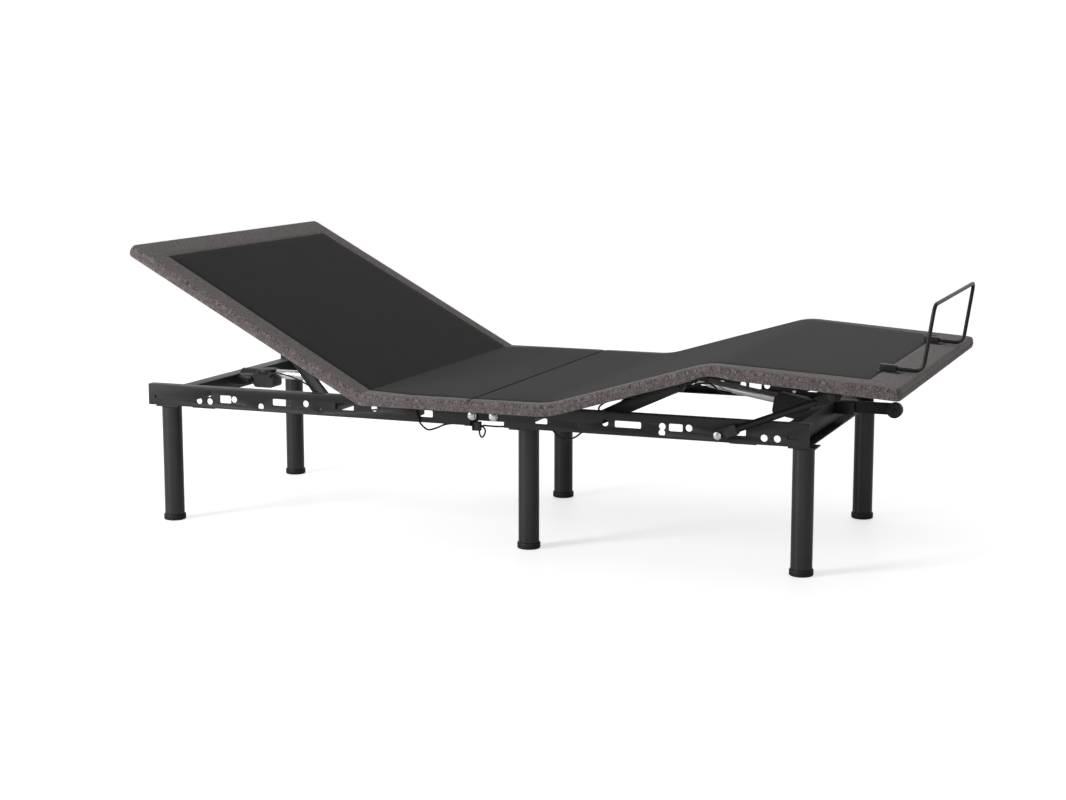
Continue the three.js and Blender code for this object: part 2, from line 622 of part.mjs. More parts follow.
const backGroup = turnedGroup(base, BACK_HINGE_X, DECK_TOP, -BACK_RAISED);
add(backGroup, "back_panel", TWEED,
  shaped([deckPanel(-BACK_LENGTH, -SEAM_GAP, DECK_CORNER), liftPad(-1), liftPad(1)]));

// The boards that meet at the knee are cut back below its axis, so that they close when the deck bends.
const KNEE_CUT = 21;
function kneeWedge(direction) {
  const depth = DECK_THICKNESS + 5 - KNEE_DROP;
  const reach = depth * Math.tan(radians(KNEE_CUT));
  const wedge = polygon([[0, -KNEE_DROP], [direction * 20, -KNEE_DROP], [direction * 20, -KNEE_DROP - depth],
    [-direction * reach, -KNEE_DROP - depth]]);
  return plateY(wedge, -DECK_HALF_WIDTH - 5, DECK_HALF_WIDTH + 5);
}

const thighGroup = turnedGroup(base, THIGH_HINGE_X, DECK_TOP, THIGH_RAISED);
add(thighGroup, "thigh_panel", TWEED, shaped(
  [deckPanel(SEAM_GAP, THIGH_LENGTH - SEAM_GAP)],
  [kneeWedge(1).translate(THIGH_LENGTH - SEAM_GAP, 0, 0)],
));

// The foot board turns about the knee axis; its own axes start on the deck top above it.
const kneeGroup = turnedGroup(thighGroup, THIGH_LENGTH, -KNEE_DROP, -THIGH_RAISED - FOOT_SLOPE);
const footGroup = turnedGroup(kneeGroup, 0, KNEE_DROP, 0);
add(footGroup, "foot_panel", TWEED, shaped(
  [deckPanel(SEAM_GAP, FOOT_LENGTH, DECK_CORNER)],
  [kneeWedge(-1).translate(SEAM_GAP, 0, 0)],
));

// ---- Lift frames and rollers -------------------------------------------------------------------------

// A cross tube with two arms, the roller pins and a slotted lever. The arms point along local +X or -X.
function liftFrame(heading, reach, lever) {
  const pieces = [cylinderY(0, 0, CROSS_TUBE_RADIUS, -INNER_HALF_WIDTH, INNER_HALF_WIDTH, 24)];
  pieces.push(cylinderY(0, 0, STUB_RADIUS, -FRAME_HALF_WIDTH + 0.5, FRAME_HALF_WIDTH - 0.5, 16));
  for (const [, side] of BOTH_SIDES) {
    const arm = taperedBar(0, 0, 17, heading * reach, 0, 11);
    const inner = side * (ARM_Y - ARM_THICKNESS / 2);
    pieces.push(plateY(arm, inner, inner + side * ARM_THICKNESS));
    pieces.push(cylinderY(heading * reach, 0, ROLLER_PIN, inner + side, side * (ARM_Y + 29), 12));
  }
  const end = polar(lever.length, lever.angle);
  const inward = polar(lever.half, lever.angle);
  const plate = taperedBar(0, 0, 16, end.x + inward.x, end.y + inward.y, lever.width);
  for (const [y0, y1] of lever.plates) pieces.push(plateY(plate, y0, y1));
  const slots = [];
  for (let i = 1; i < lever.path.length; i += 1) {
    const [a, b] = [lever.path[i - 1], lever.path[i]];
    slots.push(plateY(taperedBar(a.x, a.y, lever.slot, b.x, b.y, lever.slot - 0.01), -25, 25));
  }
  return shaped(pieces, slots);
}

// The rod pin's path in a lever's own axes, as the lever turns and its rod slides at constant rates.
function pinPath(low, high, place) {
  const path = [];
  for (let i = 0; i <= 16; i += 1) path.push(place(radians(low + ((high - low) * i) / 16)));
  return path;
}

function rollerGeometry(x, side, y, width, radius, pin) {
  const bore = pin + RUN;
  const ring = new THREE.LatheGeometry([
    new THREE.Vector2(bore, 0),
    new THREE.Vector2(radius - 1, 0),
    new THREE.Vector2(radius, 1),
    new THREE.Vector2(radius, width - 1),
    new THREE.Vector2(radius - 1, width),
    new THREE.Vector2(bore, width),
    new THREE.Vector2(bore, 0),
  ], 20);
  return ring.translate(x, side > 0 ? y : -y - width, 0);
}

const backArmGroup = turnedGroup(base, BACK_ARM_PIVOT.x, BACK_ARM_PIVOT.y, -BACK_ARM_ANGLE);
add(backArmGroup, "back_lift_frame", BLACK_STEEL, liftFrame(-1, BACK_ARM_REACH, {
  length: BACK_LEVER_LENGTH,
  angle: BACK_LEVER_ANGLE + BACK_ARM_ANGLE,
  half: BACK_SLOT_HALF,
  width: BACK_LEVER_WIDTH,
  slot: BACK_ROD_PIN + SLOT_CLEARANCE,
  path: pinPath(-BACK_RAISED, BACK_TOP - BACK_RAISED, (lift) => BACK_ROD_END.clone()
    .add(new THREE.Vector2(BACK_ROD_TRAVEL * lift, 0))
    .sub(BACK_ARM_PIVOT)
    .rotateAround(new THREE.Vector2(), radians(BACK_ARM_ANGLE) + BACK_ARM_RATIO * lift)),
  plates: [[-LEVER_THICKNESS / 2, LEVER_THICKNESS / 2]],
}));
const legArmGroup = turnedGroup(base, LEG_ARM_PIVOT.x, LEG_ARM_PIVOT.y, LEG_ARM_ANGLE);
add(legArmGroup, "leg_lift_frame", BLACK_STEEL, liftFrame(1, LEG_ARM_REACH, {
  length: LEG_LEVER_LENGTH,
  angle: LEG_LEVER_ANGLE - LEG_ARM_ANGLE,
  half: LEG_SLOT_HALF,
  width: LEG_LEVER_WIDTH,
  slot: LEG_ROD_PIN + SLOT_CLEARANCE,
  path: pinPath(-THIGH_RAISED, THIGH_TOP - THIGH_RAISED, (lift) => LEG_ROD_END.clone()
    .sub(LEG_MOTOR_PIVOT)
    .multiplyScalar(1 + (LEG_ROD_TRAVEL * lift) / LEG_MOTOR_SPAN)
    .rotateAround(new THREE.Vector2(), LEG_MOTOR_RATIO * lift)
    .add(LEG_MOTOR_PIVOT)
    .sub(LEG_ARM_PIVOT)
    .rotateAround(new THREE.Vector2(), -radians(LEG_ARM_ANGLE) - LEG_ARM_RATIO * lift)),
  plates: [[-LEVER_SPREAD - LEVER_THICKNESS / 2, -LEVER_SPREAD], [LEVER_SPREAD, LEVER_SPREAD + LEVER_THICKNESS / 2]],
}));
for (const [name, side] of BOTH_SIDES) {
  const y = ARM_Y + ARM_THICKNESS / 2 + 1;
  add(backArmGroup, `back_roller_${name}`, BLACK_PLASTIC,
    rollerGeometry(-BACK_ARM_REACH, side, y, ROLLER_WIDTH, ROLLER_RADIUS, ROLLER_PIN));
  add(legArmGroup, `leg_roller_${name}`, BLACK_PLASTIC,
    rollerGeometry(LEG_ARM_REACH, side, y, ROLLER_WIDTH, ROLLER_RADIUS, ROLLER_PIN));
}

// ---- Back actuator -----------------------------------------------------------------------------------

// A rod that ends at its pin on the origin, drawn along local -X.
function rodShaft(length, end, drop = 0) {
  const profile = [[-length, 0], [-length, ROD_RADIUS], [end, ROD_RADIUS], [end, 0]];
  return turnedX(profile).translate(0, 0, -drop);
}

function forkedRod(pin, length, backset) {
  const inner = LEVER_THICKNESS / 2 + 1;
  const outer = inner + 5;
  const cheek = taperedBar(-backset - 2, 0, 9, 0, 0, 9.01);
  const bridge = polygon([[-backset - 12, -12], [-backset - 8, -12], [-backset, -3], [-backset, 9],
    [-backset - 12, 9]]);
  return shaped([
    rodShaft(length, -backset - 6, BACK_ROD_RISE),
    plateY(bridge, -outer, outer),
    ...BOTH_SIDES.map(([, side]) => plateY(cheek, side * inner, side * outer)),
    cylinderY(0, 0, pin, -outer - 3, outer + 3, 16),
  ]);
}

function eyedRod(pin, length) {
  const reach = LEVER_SPREAD + LEVER_THICKNESS / 2 + 2;
  return shaped([
    rodShaft(length, -2),
    cylinderY(0, 0, pin + 5, -10, 10, 20),
    cylinderY(0, 0, pin, -reach, reach, 16),
  ]);
}

// A bored tube in two steps with an end ring, from the gearbox at x0 to the ring's face at x1.
function actuatorTube(x0, step, x1, boreDepth) {
  return turnedX([[x0, 0], [x0, OUTER_TUBE_RADIUS], [step, OUTER_TUBE_RADIUS], [step, SLIM_TUBE_RADIUS],
    [x1, SLIM_TUBE_RADIUS], [x1, ROD_RADIUS + RUN], [x1 - boreDepth, ROD_RADIUS + RUN], [x1 - boreDepth, 0]]);
}

const BACK_AXIS_Z = BACK_ROD_END.y - BACK_ROD_RISE;
const BACK_GEAR_X = BACK_MOTOR_PIVOT_X + 72;
const BACK_TUBE_END = BACK_ROD_END.x - 66;
const MOTOR_RADIUS = 22;
const MOTOR_DROP = 10; // the motor and gearbox hang below the tube, under the deck when it lies flat

add(base, "back_actuator_rod", ALUMINIUM,
  forkedRod(BACK_ROD_PIN, 190, 24).translate(BACK_ROD_END.x, 0, BACK_ROD_END.y));
add(base, "back_actuator_tube", ALUMINIUM,
  actuatorTube(BACK_GEAR_X + GAP, BACK_GEAR_X + 140, BACK_TUBE_END, 165).translate(0, 0, BACK_AXIS_Z));

const backMotorCan = turnedX([[BACK_MOTOR_PIVOT_X - 35, 0], [BACK_MOTOR_PIVOT_X - 35, MOTOR_RADIUS - 3],
  [BACK_MOTOR_PIVOT_X - 32, MOTOR_RADIUS], [BACK_MOTOR_PIVOT_X + 40, MOTOR_RADIUS],
  [BACK_MOTOR_PIVOT_X + 40, 0]], 24).translate(0, 0, BACK_AXIS_Z - MOTOR_DROP);
const backGearbox = plateY(
  roundedRectangle(BACK_GEAR_X - 60, BACK_GEAR_X, BACK_AXIS_Z - 36, BACK_AXIS_Z + 9, 9), -25, 25,
);
const backGearCover = cylinderZ(BACK_GEAR_X - 29, 0, 29, BACK_AXIS_Z, BACK_AXIS_Z + 12.4, 24);
add(base, "back_actuator_motor", BLACK_PLASTIC, shaped(
  [backMotorCan, backGearbox, backGearCover],
  [cylinderY(BACK_MOTOR_PIVOT_X, motorPinZ, ROLLER_PIN + RUN, -40, 40, 16)],
));

// ---- Leg actuator: everything turns about the pin at the foot end -------------------------------------

const legMotorGroup = turnedGroup(base, LEG_MOTOR_PIVOT.x, LEG_MOTOR_PIVOT.y, -LEG_MOTOR_TILT);
const LEG_GEAR_START = 104;
const legHousing = plateY(roundedRectangle(-LEG_GEAR_START, -20, -36, 16, 12), -25, 25);
const legMotorCan = turnedX([[-96, 0], [-96, 25], [-20, 25], [-14, 19], [-14, 0]], 24)
  .translate(0, 0, -MOTOR_DROP);
const legRearBoss = plateY(taperedBar(-22, 0, 12, 0, 0, 12.01), -13, 13);
add(legMotorGroup, "leg_actuator_motor", BLACK_PLASTIC, shaped(
  [legHousing, legMotorCan, legRearBoss],
  [cylinderY(0, 0, LEG_ROD_PIN + RUN, -20, 20, 16)],
));

const LEG_TUBE_FACE = LEG_MOTOR_SPAN - 46;
add(legMotorGroup, "leg_actuator_tube", ALUMINIUM,
  actuatorTube(LEG_GEAR_START + GAP, LEG_GEAR_START + 112, LEG_TUBE_FACE, 140).rotateZ(Math.PI));
add(legMotorGroup, "leg_actuator_rod", ALUMINIUM,
  eyedRod(LEG_ROD_PIN, 150).rotateZ(Math.PI).translate(-LEG_MOTOR_SPAN, 0, 0));

const BEAM_INNER_FACE = FOOT_WEB_X - BEAM_WALL - GAP;
const legCheeks = BOTH_SIDES.map(([, side]) => plateY(polygon([
  [BEAM_INNER_FACE, LEG_MOTOR_PIVOT.y - 26], [BEAM_INNER_FACE, LEG_MOTOR_PIVOT.y + 12],
  [LEG_MOTOR_PIVOT.x - 8, LEG_MOTOR_PIVOT.y + 9], [LEG_MOTOR_PIVOT.x - 8, LEG_MOTOR_PIVOT.y - 8],
]), side * 14, side * 18));
add(base, "leg_actuator_bracket", BLACK_STEEL, shaped([
  ...legCheeks,
  box(BEAM_INNER_FACE - 3, BEAM_INNER_FACE, -18, 18, LEG_MOTOR_PIVOT.y - 26, LEG_MOTOR_PIVOT.y + 12),
  cylinderY(LEG_MOTOR_PIVOT.x, LEG_MOTOR_PIVOT.y, LEG_ROD_PIN, -24, 24, 16),
]));

// ---- Foot links --------------------------------------------------------------------------------------

const LINK_INNER = FRAME_HALF_WIDTH + 2.5;
const LINK_OUTER = LINK_INNER + 20;
const EYE_THICKNESS = 6;

for (const [name, side] of BOTH_SIDES) {
  const linkGroup = turnedGroup(base, LINK_PIVOT.x, LINK_PIVOT.y, LINK_ANGLE);
  const sleeve = plateY(roundedRectangle(-13, 46, -13, 13, 5), side * LINK_INNER, side * LINK_OUTER);
  const middle = side * (LINK_INNER + 10);
  const bar = turnedX([[40, 0], [40, LINK_BAR_RADIUS], [LINK_LENGTH - 44, LINK_BAR_RADIUS],
    [LINK_LENGTH - 36, 4], [LINK_LENGTH - 36, 0]], 12).translate(0, middle, 0);
  const eye = plateY(taperedBar(LINK_LENGTH - 46, 0, 9.5, LINK_LENGTH, 0, 13),
    middle - EYE_THICKNESS / 2, middle + EYE_THICKNESS / 2);
  add(linkGroup, `foot_link_${name}`, BLACK_STEEL, shaped([sleeve, bar, eye], [
    cylinderY(0, 0, BOLT_RADIUS + RUN, side * (LINK_INNER - 5), side * (LINK_OUTER + 5), 16),
    cylinderY(LINK_LENGTH, 0, LINK_EYE_HOLE, middle - 9, middle + 9, 16),
  ]));
  const head = cylinderY(LINK_PIVOT.x, LINK_PIVOT.y, BOLT_HEAD_RADIUS, side * (LINK_OUTER + GAP),
    side * (LINK_OUTER + GAP + BOLT_HEAD_HEIGHT), 6);
  const shank = cylinderY(LINK_PIVOT.x, LINK_PIVOT.y, BOLT_RADIUS, side * (LINK_OUTER + 2),
    side * (FRAME_HALF_WIDTH - RAIL_WALL - 12), 16);
  add(base, `link_bolt_${name}`, ZINC, shaped([head, shank]));

  // The bracket hangs under the foot board, in the foot panel's axes, with its own bolt through the eye.
  const eyeZ = -KNEE_DROP - LINK_EYE_DROP;
  const under = -DECK_THICKNESS - GAP;
  const hang = polygon([[LINK_EYE_ALONG - 42, under], [LINK_EYE_ALONG + 34, under],
    [LINK_EYE_ALONG + 14, eyeZ - 11], [LINK_EYE_ALONG - 12, eyeZ - 13]]);
  const inside = side * (LINK_INNER + 10) - side * (EYE_THICKNESS / 2 + 1);
  const washer = side * (LINK_INNER + 10) + side * (EYE_THICKNESS / 2 + 1);
  add(footGroup, `link_bracket_${name}`, BLACK_STEEL, shaped([
    plateY(hang, inside, inside - side * 4),
    box(LINK_EYE_ALONG - 42, LINK_EYE_ALONG + 34, inside, inside - side * 34, under, under - 4),
    cylinderY(LINK_EYE_ALONG, eyeZ, BOLT_RADIUS, inside - side * 2, washer + side * 4, 16),
    cylinderY(LINK_EYE_ALONG, eyeZ, BOLT_HEAD_RADIUS, washer, washer + side * BOLT_HEAD_HEIGHT, 6),
  ]));
}

// ---- Foot end support --------------------------------------------------------------------------------

const SUPPORT_ROLLER_Z = DECK_BOTTOM - 1 - SUPPORT_ROLLER_RADIUS;
const SUPPORT_PIN = 6;
const supportStart = FOOT_WEB_X + GAP;
const supportBar = taperedBar(supportStart + 20, SUPPORT_ROLLER_Z, 14.5, SUPPORT_ROLLER_X, SUPPORT_ROLLER_Z,
  14.49);
add(base, "support_arm", BLACK_STEEL, shaped([
  plateY(supportBar, SUPPORT_Y + 2, SUPPORT_Y + 10),
  box(supportStart, supportStart + 46, SUPPORT_Y - 20, SUPPORT_Y + 22, SUPPORT_ROLLER_Z - 16,
    SUPPORT_ROLLER_Z + 16.5),
  cylinderY(SUPPORT_ROLLER_X, SUPPORT_ROLLER_Z, SUPPORT_PIN, SUPPORT_Y - 26, SUPPORT_Y + 4, 16),
]));
add(base, "support_roller", BLACK_PLASTIC, rollerGeometry(
  SUPPORT_ROLLER_X, 1, SUPPORT_Y - 23, 24, SUPPORT_ROLLER_RADIUS, SUPPORT_PIN,
).translate(0, 0, SUPPORT_ROLLER_Z));

// ---- Mattress retainer -------------------------------------------------------------------------------

const RETAINER_X = FOOT_LENGTH + 4;
const RETAINER_Z = RETAINER_ROD + 4;
const RETAINER_HOOK_X = RETAINER_X - 92;
const lean = RETAINER_HEIGHT * Math.tan(radians(RETAINER_LEAN));
const retainerCorners = [
  [RETAINER_HOOK_X, -1, RETAINER_Z], [RETAINER_X, -1, RETAINER_Z],
  [RETAINER_X + lean, -1, RETAINER_HEIGHT], [RETAINER_X + lean, 1, RETAINER_HEIGHT],
  [RETAINER_X, 1, RETAINER_Z], [RETAINER_HOOK_X, 1, RETAINER_Z],
].map(([x, side, z]) => new THREE.Vector3(x, side * RETAINER_HALF_WIDTH, z));
add(footGroup, "retainer_bar", BLACK_STEEL,
  rodAlong(roundedCorners(retainerCorners, RETAINER_BEND), RETAINER_ROD));

for (const [name, side] of BOTH_SIDES) {
  const y = side * RETAINER_HALF_WIDTH;
  const start = RETAINER_HOOK_X - 8;
  const bore = new THREE.CylinderGeometry(RETAINER_ROD + RUN, RETAINER_ROD + RUN, 60, 12)
    .rotateZ(Math.PI / 2)
    .translate(RETAINER_HOOK_X + 30 - RUN, y, RETAINER_Z);
  add(footGroup, `retainer_bracket_${name}`, BLACK_STEEL, shaped([
    box(start, start + 50, y - 26, y + 26, GAP, 3),
    box(start + 2, start + 40, y - 8, y + 8, GAP, RETAINER_Z + RETAINER_ROD + 3),
  ], [bore]));
}

// ---- Control box, leads and their coupler ------------------------------------------------------------

const CONTROL_END_X = -236;
const CONTROL_LENGTH = 82;
const CONTROL_INNER_Y = 264;
const CONTROL_OUTER_Y = FRAME_HALF_WIDTH - RAIL_WALL - GAP;
add(base, "control_box", BLACK_PLASTIC, new THREE.ExtrudeGeometry(
  roundedRectangle(CONTROL_END_X - CONTROL_LENGTH, CONTROL_END_X, -CONTROL_OUTER_Y, -CONTROL_INNER_Y, 6),
  { depth: 22, bevelThickness: 3, bevelSize: 3, bevelOffset: -3, bevelSegments: 2, curveSegments: 3 },
).translate(0, 0, RAIL_BOTTOM + RAIL_WALL + GAP + 3));

// Each lead's points are chosen by hand along its route.
function lead(name, route, count) {
  const points = route.map(([x, y, z]) => new THREE.Vector3(x, y, z));
  const curve = new THREE.CatmullRomCurve3(points, false, "centripetal");
  add(base, name, BLACK_PLASTIC, rodAlong(curve.getPoints(count), LEAD_RADIUS, 6));
}

lead("motor_lead", [
  [-806, -25.5 - LEAD_RADIUS, 338], [-800, -31, 346], [-788, -34, 352], [-770, -34, 352],
  [-735, -36, 345], [-690, -52, 334], [-620, -110, 322], [-540, -190, 308], [-480, -240, 296],
  [-400, -290, 308], [-350, -312, 320], [CONTROL_END_X - CONTROL_LENGTH - GAP - 0.4, -315, 321],
], 32);

// The head lead drops out through the near rail, sags below it and goes back under to the coupler.
lead("head_lead", [
  [CONTROL_END_X + 2, -322, 326], [-227, -334, 336], [-222.6, -349, 341.5], [-219, -360.6, 340],
  [-214, -362, 322], [-204, -361.5, 301], [-187, -357, 287], [-170, -348, 290], [-152, -334, 298],
  [-134, -316, 299.4], [-118, -300, 299.2], [-92, -298, 299.2], [-76, -310, 300], [-67, -324, 301],
  [-65, -333.7, 301],
], 46);

const COUPLER_X = FOLD_HEAD_X - 6 + GAP;
const couplerY = [-FRAME_HALF_WIDTH + 10, -FRAME_HALF_WIDTH + 22];
add(base, "lead_coupler", BLACK_PLASTIC, shaped([
  box(COUPLER_X, COUPLER_X + 22, ...couplerY, RAIL_BOTTOM - 14.1, RAIL_BOTTOM + 7.9),
  box(COUPLER_X - 20, COUPLER_X + 2, ...couplerY, RAIL_BOTTOM - 3.5, RAIL_BOTTOM - GAP),
], [box(COUPLER_X + 4, COUPLER_X + 8.5, couplerY[0] - 1, couplerY[0] + 3,
  RAIL_BOTTOM - 12.1, RAIL_BOTTOM + 1.9)]));

// The foot lead starts with a slack loop, runs behind the near rail, and climbs to the leg actuator.
lead("foot_lead", [
  [COUPLER_X + 22 + GAP + 0.1, -341, 301], [-46.5, -341, 299.5], [-41.5, -341, 291], [-45, -340, 279],
  [-52, -337, 273.5], [-59, -333, 279], [-61, -329, 291], [-54, -327, 300], [-40, -326, 300.5],
  [-20, -325, 300], [5, -300, 298], [22, -270, 296.8], [60, -261, 296.5], [96, -282, 296.5],
  [119, -304, 297], [138, -311, 283], [158, -311, 276], [180, -309, 284], [198, -298, 298],
  [212, -284, 300.4], [228, -276, 306], [236, -272, 322], [230, -271, 340], [226, -270, 352],
  [238, -268, 364], [262, -258, 372], [320, -200, 378], [380, -110, 386], [428, -36, 391],
  [440, -24, 384], [452, -17, 371], [468, -4, 362], [488, 14, 359], [515, 21, 361], [560, 20, 361],
  [593.6, 19, 357.6],
], 108);

// ---- Centre the whole base over the origin -----------------------------------------------------------

base.updateMatrixWorld(true);
const extent = new THREE.Box3().setFromObject(base, true);
base.position.x = -(extent.min.x + extent.max.x) / 2;

export default base;
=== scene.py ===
"""An adjustable bed base: jointed tweed deck, powder coated frame, lift arms and two linear actuators.

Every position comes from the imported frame. Metres throughout, +X to the foot end, +Z up.
"""
import json
import math
import random

import bmesh
import bpy
from mathutils import Matrix, Vector


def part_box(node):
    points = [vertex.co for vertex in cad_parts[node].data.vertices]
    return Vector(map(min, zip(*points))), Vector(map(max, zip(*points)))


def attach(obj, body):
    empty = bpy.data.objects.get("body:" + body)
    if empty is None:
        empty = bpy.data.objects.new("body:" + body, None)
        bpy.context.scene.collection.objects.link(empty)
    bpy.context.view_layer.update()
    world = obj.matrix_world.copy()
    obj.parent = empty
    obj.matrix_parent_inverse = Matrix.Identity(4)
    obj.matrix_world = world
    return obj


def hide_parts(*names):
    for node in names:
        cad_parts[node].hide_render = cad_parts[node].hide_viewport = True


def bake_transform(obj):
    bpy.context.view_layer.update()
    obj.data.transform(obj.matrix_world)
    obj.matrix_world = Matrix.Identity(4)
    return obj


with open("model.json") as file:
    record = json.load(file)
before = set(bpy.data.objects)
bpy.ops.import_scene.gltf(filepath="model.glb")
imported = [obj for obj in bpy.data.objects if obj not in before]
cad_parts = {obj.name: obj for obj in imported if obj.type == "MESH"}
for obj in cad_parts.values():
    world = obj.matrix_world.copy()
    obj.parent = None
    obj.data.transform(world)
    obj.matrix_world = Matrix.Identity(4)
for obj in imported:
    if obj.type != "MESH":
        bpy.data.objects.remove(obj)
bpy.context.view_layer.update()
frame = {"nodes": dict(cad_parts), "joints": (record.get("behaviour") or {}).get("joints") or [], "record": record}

NODES = frame["nodes"]
BODY_OF = {n: b for b, names in frame["record"]["behaviour"]["bodies"].items() for n in names}
JOINT = {j["name"]: j for j in frame["joints"]}
SCENE = bpy.context.scene


# ---- Camera, floor and light ---------------------------------------------------------------------------

EYE = Vector((1.7757, -4.7320, 1.1192))
SIGHT = Vector((-0.3598, 0.9199, -0.1562))
camera_data = bpy.data.cameras.new("camera")
camera_data.sensor_width = 36.0
camera_data.lens = 67.07
camera = bpy.data.objects.new("camera", camera_data)
camera.location = EYE
camera.rotation_euler = SIGHT.to_track_quat("-Z", "Y").to_euler()
SCENE.collection.objects.link(camera)
SCENE.camera = camera
SCENE.view_settings.view_transform = "Standard"

# ---- Leads: their routes are the CAD's own points, in metres from the middle of the flat deck ----------

BACK_HINGE_FROM_MIDDLE = 0.303
DECK_MIDDLE_X = JOINT["back_lift"]["pos_m"][0] + BACK_HINGE_FROM_MIDDLE
LEAD_DIAMETER = 0.0044
LEAD_SIDES = 10
LEAD_ROUTES = {
    "motor_lead": [
        (-0.8060, -0.0277, 0.3380), (-0.8000, -0.0310, 0.3460), (-0.7880, -0.0340, 0.3520),
        (-0.7700, -0.0340, 0.3520), (-0.7350, -0.0360, 0.3450), (-0.6900, -0.0520, 0.3340),
        (-0.6200, -0.1100, 0.3220), (-0.5400, -0.1900, 0.3080), (-0.4800, -0.2400, 0.2960),
        (-0.4000, -0.2900, 0.3080), (-0.3500, -0.3120, 0.3200), (-0.3187, -0.3150, 0.3210),
    ],
    "head_lead": [
        (-0.2340, -0.3220, 0.3260), (-0.2270, -0.3340, 0.3360), (-0.2226, -0.3490, 0.3415),
        (-0.2190, -0.3606, 0.3400), (-0.2140, -0.3620, 0.3220), (-0.2040, -0.3615, 0.3010),
        (-0.1870, -0.3570, 0.2870), (-0.1700, -0.3480, 0.2900), (-0.1520, -0.3340, 0.2980),
        (-0.1340, -0.3160, 0.2994), (-0.1180, -0.3000, 0.2992), (-0.0920, -0.2980, 0.2992),
        (-0.0760, -0.3100, 0.3000), (-0.0670, -0.3240, 0.3010), (-0.0650, -0.3337, 0.3010),
    ],
    "foot_lead": [
        (-0.0523, -0.3410, 0.3010), (-0.0465, -0.3410, 0.2995), (-0.0415, -0.3410, 0.2910),
        (-0.0450, -0.3400, 0.2790), (-0.0520, -0.3370, 0.2735), (-0.0590, -0.3330, 0.2790),
        (-0.0610, -0.3290, 0.2910), (-0.0540, -0.3270, 0.3000), (-0.0400, -0.3260, 0.3005),
        (-0.0200, -0.3250, 0.3000), (0.0050, -0.3000, 0.2980), (0.0220, -0.2700, 0.2968),
        (0.0600, -0.2610, 0.2965), (0.0960, -0.2820, 0.2965), (0.1190, -0.3040, 0.2970),
        (0.1380, -0.3110, 0.2830), (0.1580, -0.3110, 0.2760), (0.1800, -0.3090, 0.2840),
        (0.1980, -0.2980, 0.2980), (0.2120, -0.2840, 0.3004), (0.2280, -0.2760, 0.3060),
        (0.2360, -0.2720, 0.3220), (0.2300, -0.2710, 0.3400), (0.2260, -0.2700, 0.3520),
        (0.2380, -0.2680, 0.3640), (0.2620, -0.2580, 0.3720), (0.3200, -0.2000, 0.3780),
        (0.3800, -0.1100, 0.3860), (0.4280, -0.0360, 0.3910), (0.4400, -0.0240, 0.3840),
        (0.4520, -0.0170, 0.3710), (0.4680, -0.0040, 0.3620), (0.4880, 0.0140, 0.3590),
        (0.5150, 0.0210, 0.3610), (0.5600, 0.0200, 0.3610), (0.5936, 0.0190, 0.3576),
    ],
}


def smooth_route(points, between=8):
    """A centripetal curve through the points, as a list of close points."""
    route = [Vector((x + DECK_MIDDLE_X, y, z)) for x, y, z in points]
    ends = [route[0] * 2 - route[1], *route, route[-1] * 2 - route[-2]]
    curve = [route[0]]
    for p0, p1, p2, p3 in zip(ends, ends[1:], ends[2:], ends[3:]):
        t1 = math.sqrt((p1 - p0).length)
        t2 = t1 + math.sqrt((p2 - p1).length)
        t3 = t2 + math.sqrt((p3 - p2).length)
        for i in range(1, between + 1):
            t = t1 + (t2 - t1) * i / between
            a1 = p0.lerp(p1, t / t1)
            a2 = p1.lerp(p2, (t - t1) / (t2 - t1))
            a3 = p2.lerp(p3, (t - t2) / (t3 - t2))
            curve.append(a1.lerp(a2, t / t2).lerp(a2.lerp(a3, (t - t1) / (t3 - t1)),
                                                  (t - t1) / (t2 - t1)))
    return curve


def lead_piece(name):
    """A round lead along its route, with closed ends."""
    line = smooth_route(LEAD_ROUTES[name])
    bm = bmesh.new()
    across = (line[1] - line[0]).orthogonal().normalized()
    rings = []
    for i, point in enumerate(line):
        along = (line[min(i + 1, len(line) - 1)] - line[max(i - 1, 0)]).normalized()
        across = (across - along * across.dot(along)).normalized()
        beside = along.cross(across)
        turns = [2 * math.pi * k / LEAD_SIDES for k in range(LEAD_SIDES)]
        rings.append([
            bm.verts.new(point + LEAD_DIAMETER / 2 * (across * math.cos(turn) + beside * math.sin(turn)))
            for turn in turns
        ])
    for lower, upper in zip(rings, rings[1:]):
        for k in range(LEAD_SIDES):
            following = (k + 1) % LEAD_SIDES
            bm.faces.new((lower[k], lower[following], upper[following], upper[k]))
    bm.faces.new(rings[0][::-1])
    bm.faces.new(rings[-1])
    for face in bm.faces:
        face.smooth = len(face.verts) == 4
    bmesh.ops.recalc_face_normals(bm, faces=bm.faces)
    mesh = bpy.data.meshes.new(f"{name}_jacket")
    bm.to_mesh(mesh)
    bm.free()
    piece = bpy.data.objects.new(f"{name}_jacket", mesh)
    SCENE.collection.objects.link(piece)
    if name == "foot_lead":
        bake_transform(piece)
    else:
        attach(piece, BODY_OF[name])
    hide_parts(name)
    return piece


LEADS = {name: lead_piece(name) for name in LEAD_ROUTES}


def new_material(name, base, roughness, metallic=0.0, **sockets):
    """A material with a Principled BSDF, its node tree and the shader, constants set on the shader."""
    material = bpy.data.materials.new(name)
    material.use_nodes = True
    shader = material.node_tree.nodes["Principled BSDF"]
    shader.inputs["Base Color"].default_value = (*base, 1.0)
    shader.inputs["Roughness"].default_value = roughness
    shader.inputs["Metallic"].default_value = metallic
    for socket, value in sockets.items():
        shader.inputs[socket.replace("_", " ")].default_value = value
    return material, material.node_tree, shader


def area_light(name, place, target, size, power):
    data = bpy.data.lights.new(name, "AREA")
    data.shape = "RECTANGLE"
    data.size, data.size_y = size
    data.energy = power
    light = bpy.data.objects.new(name, data)
    light.location = place
    light.rotation_euler = (Vector(target) - Vector(place)).to_track_quat("-Z", "Y").to_euler()
    SCENE.collection.objects.link(light)


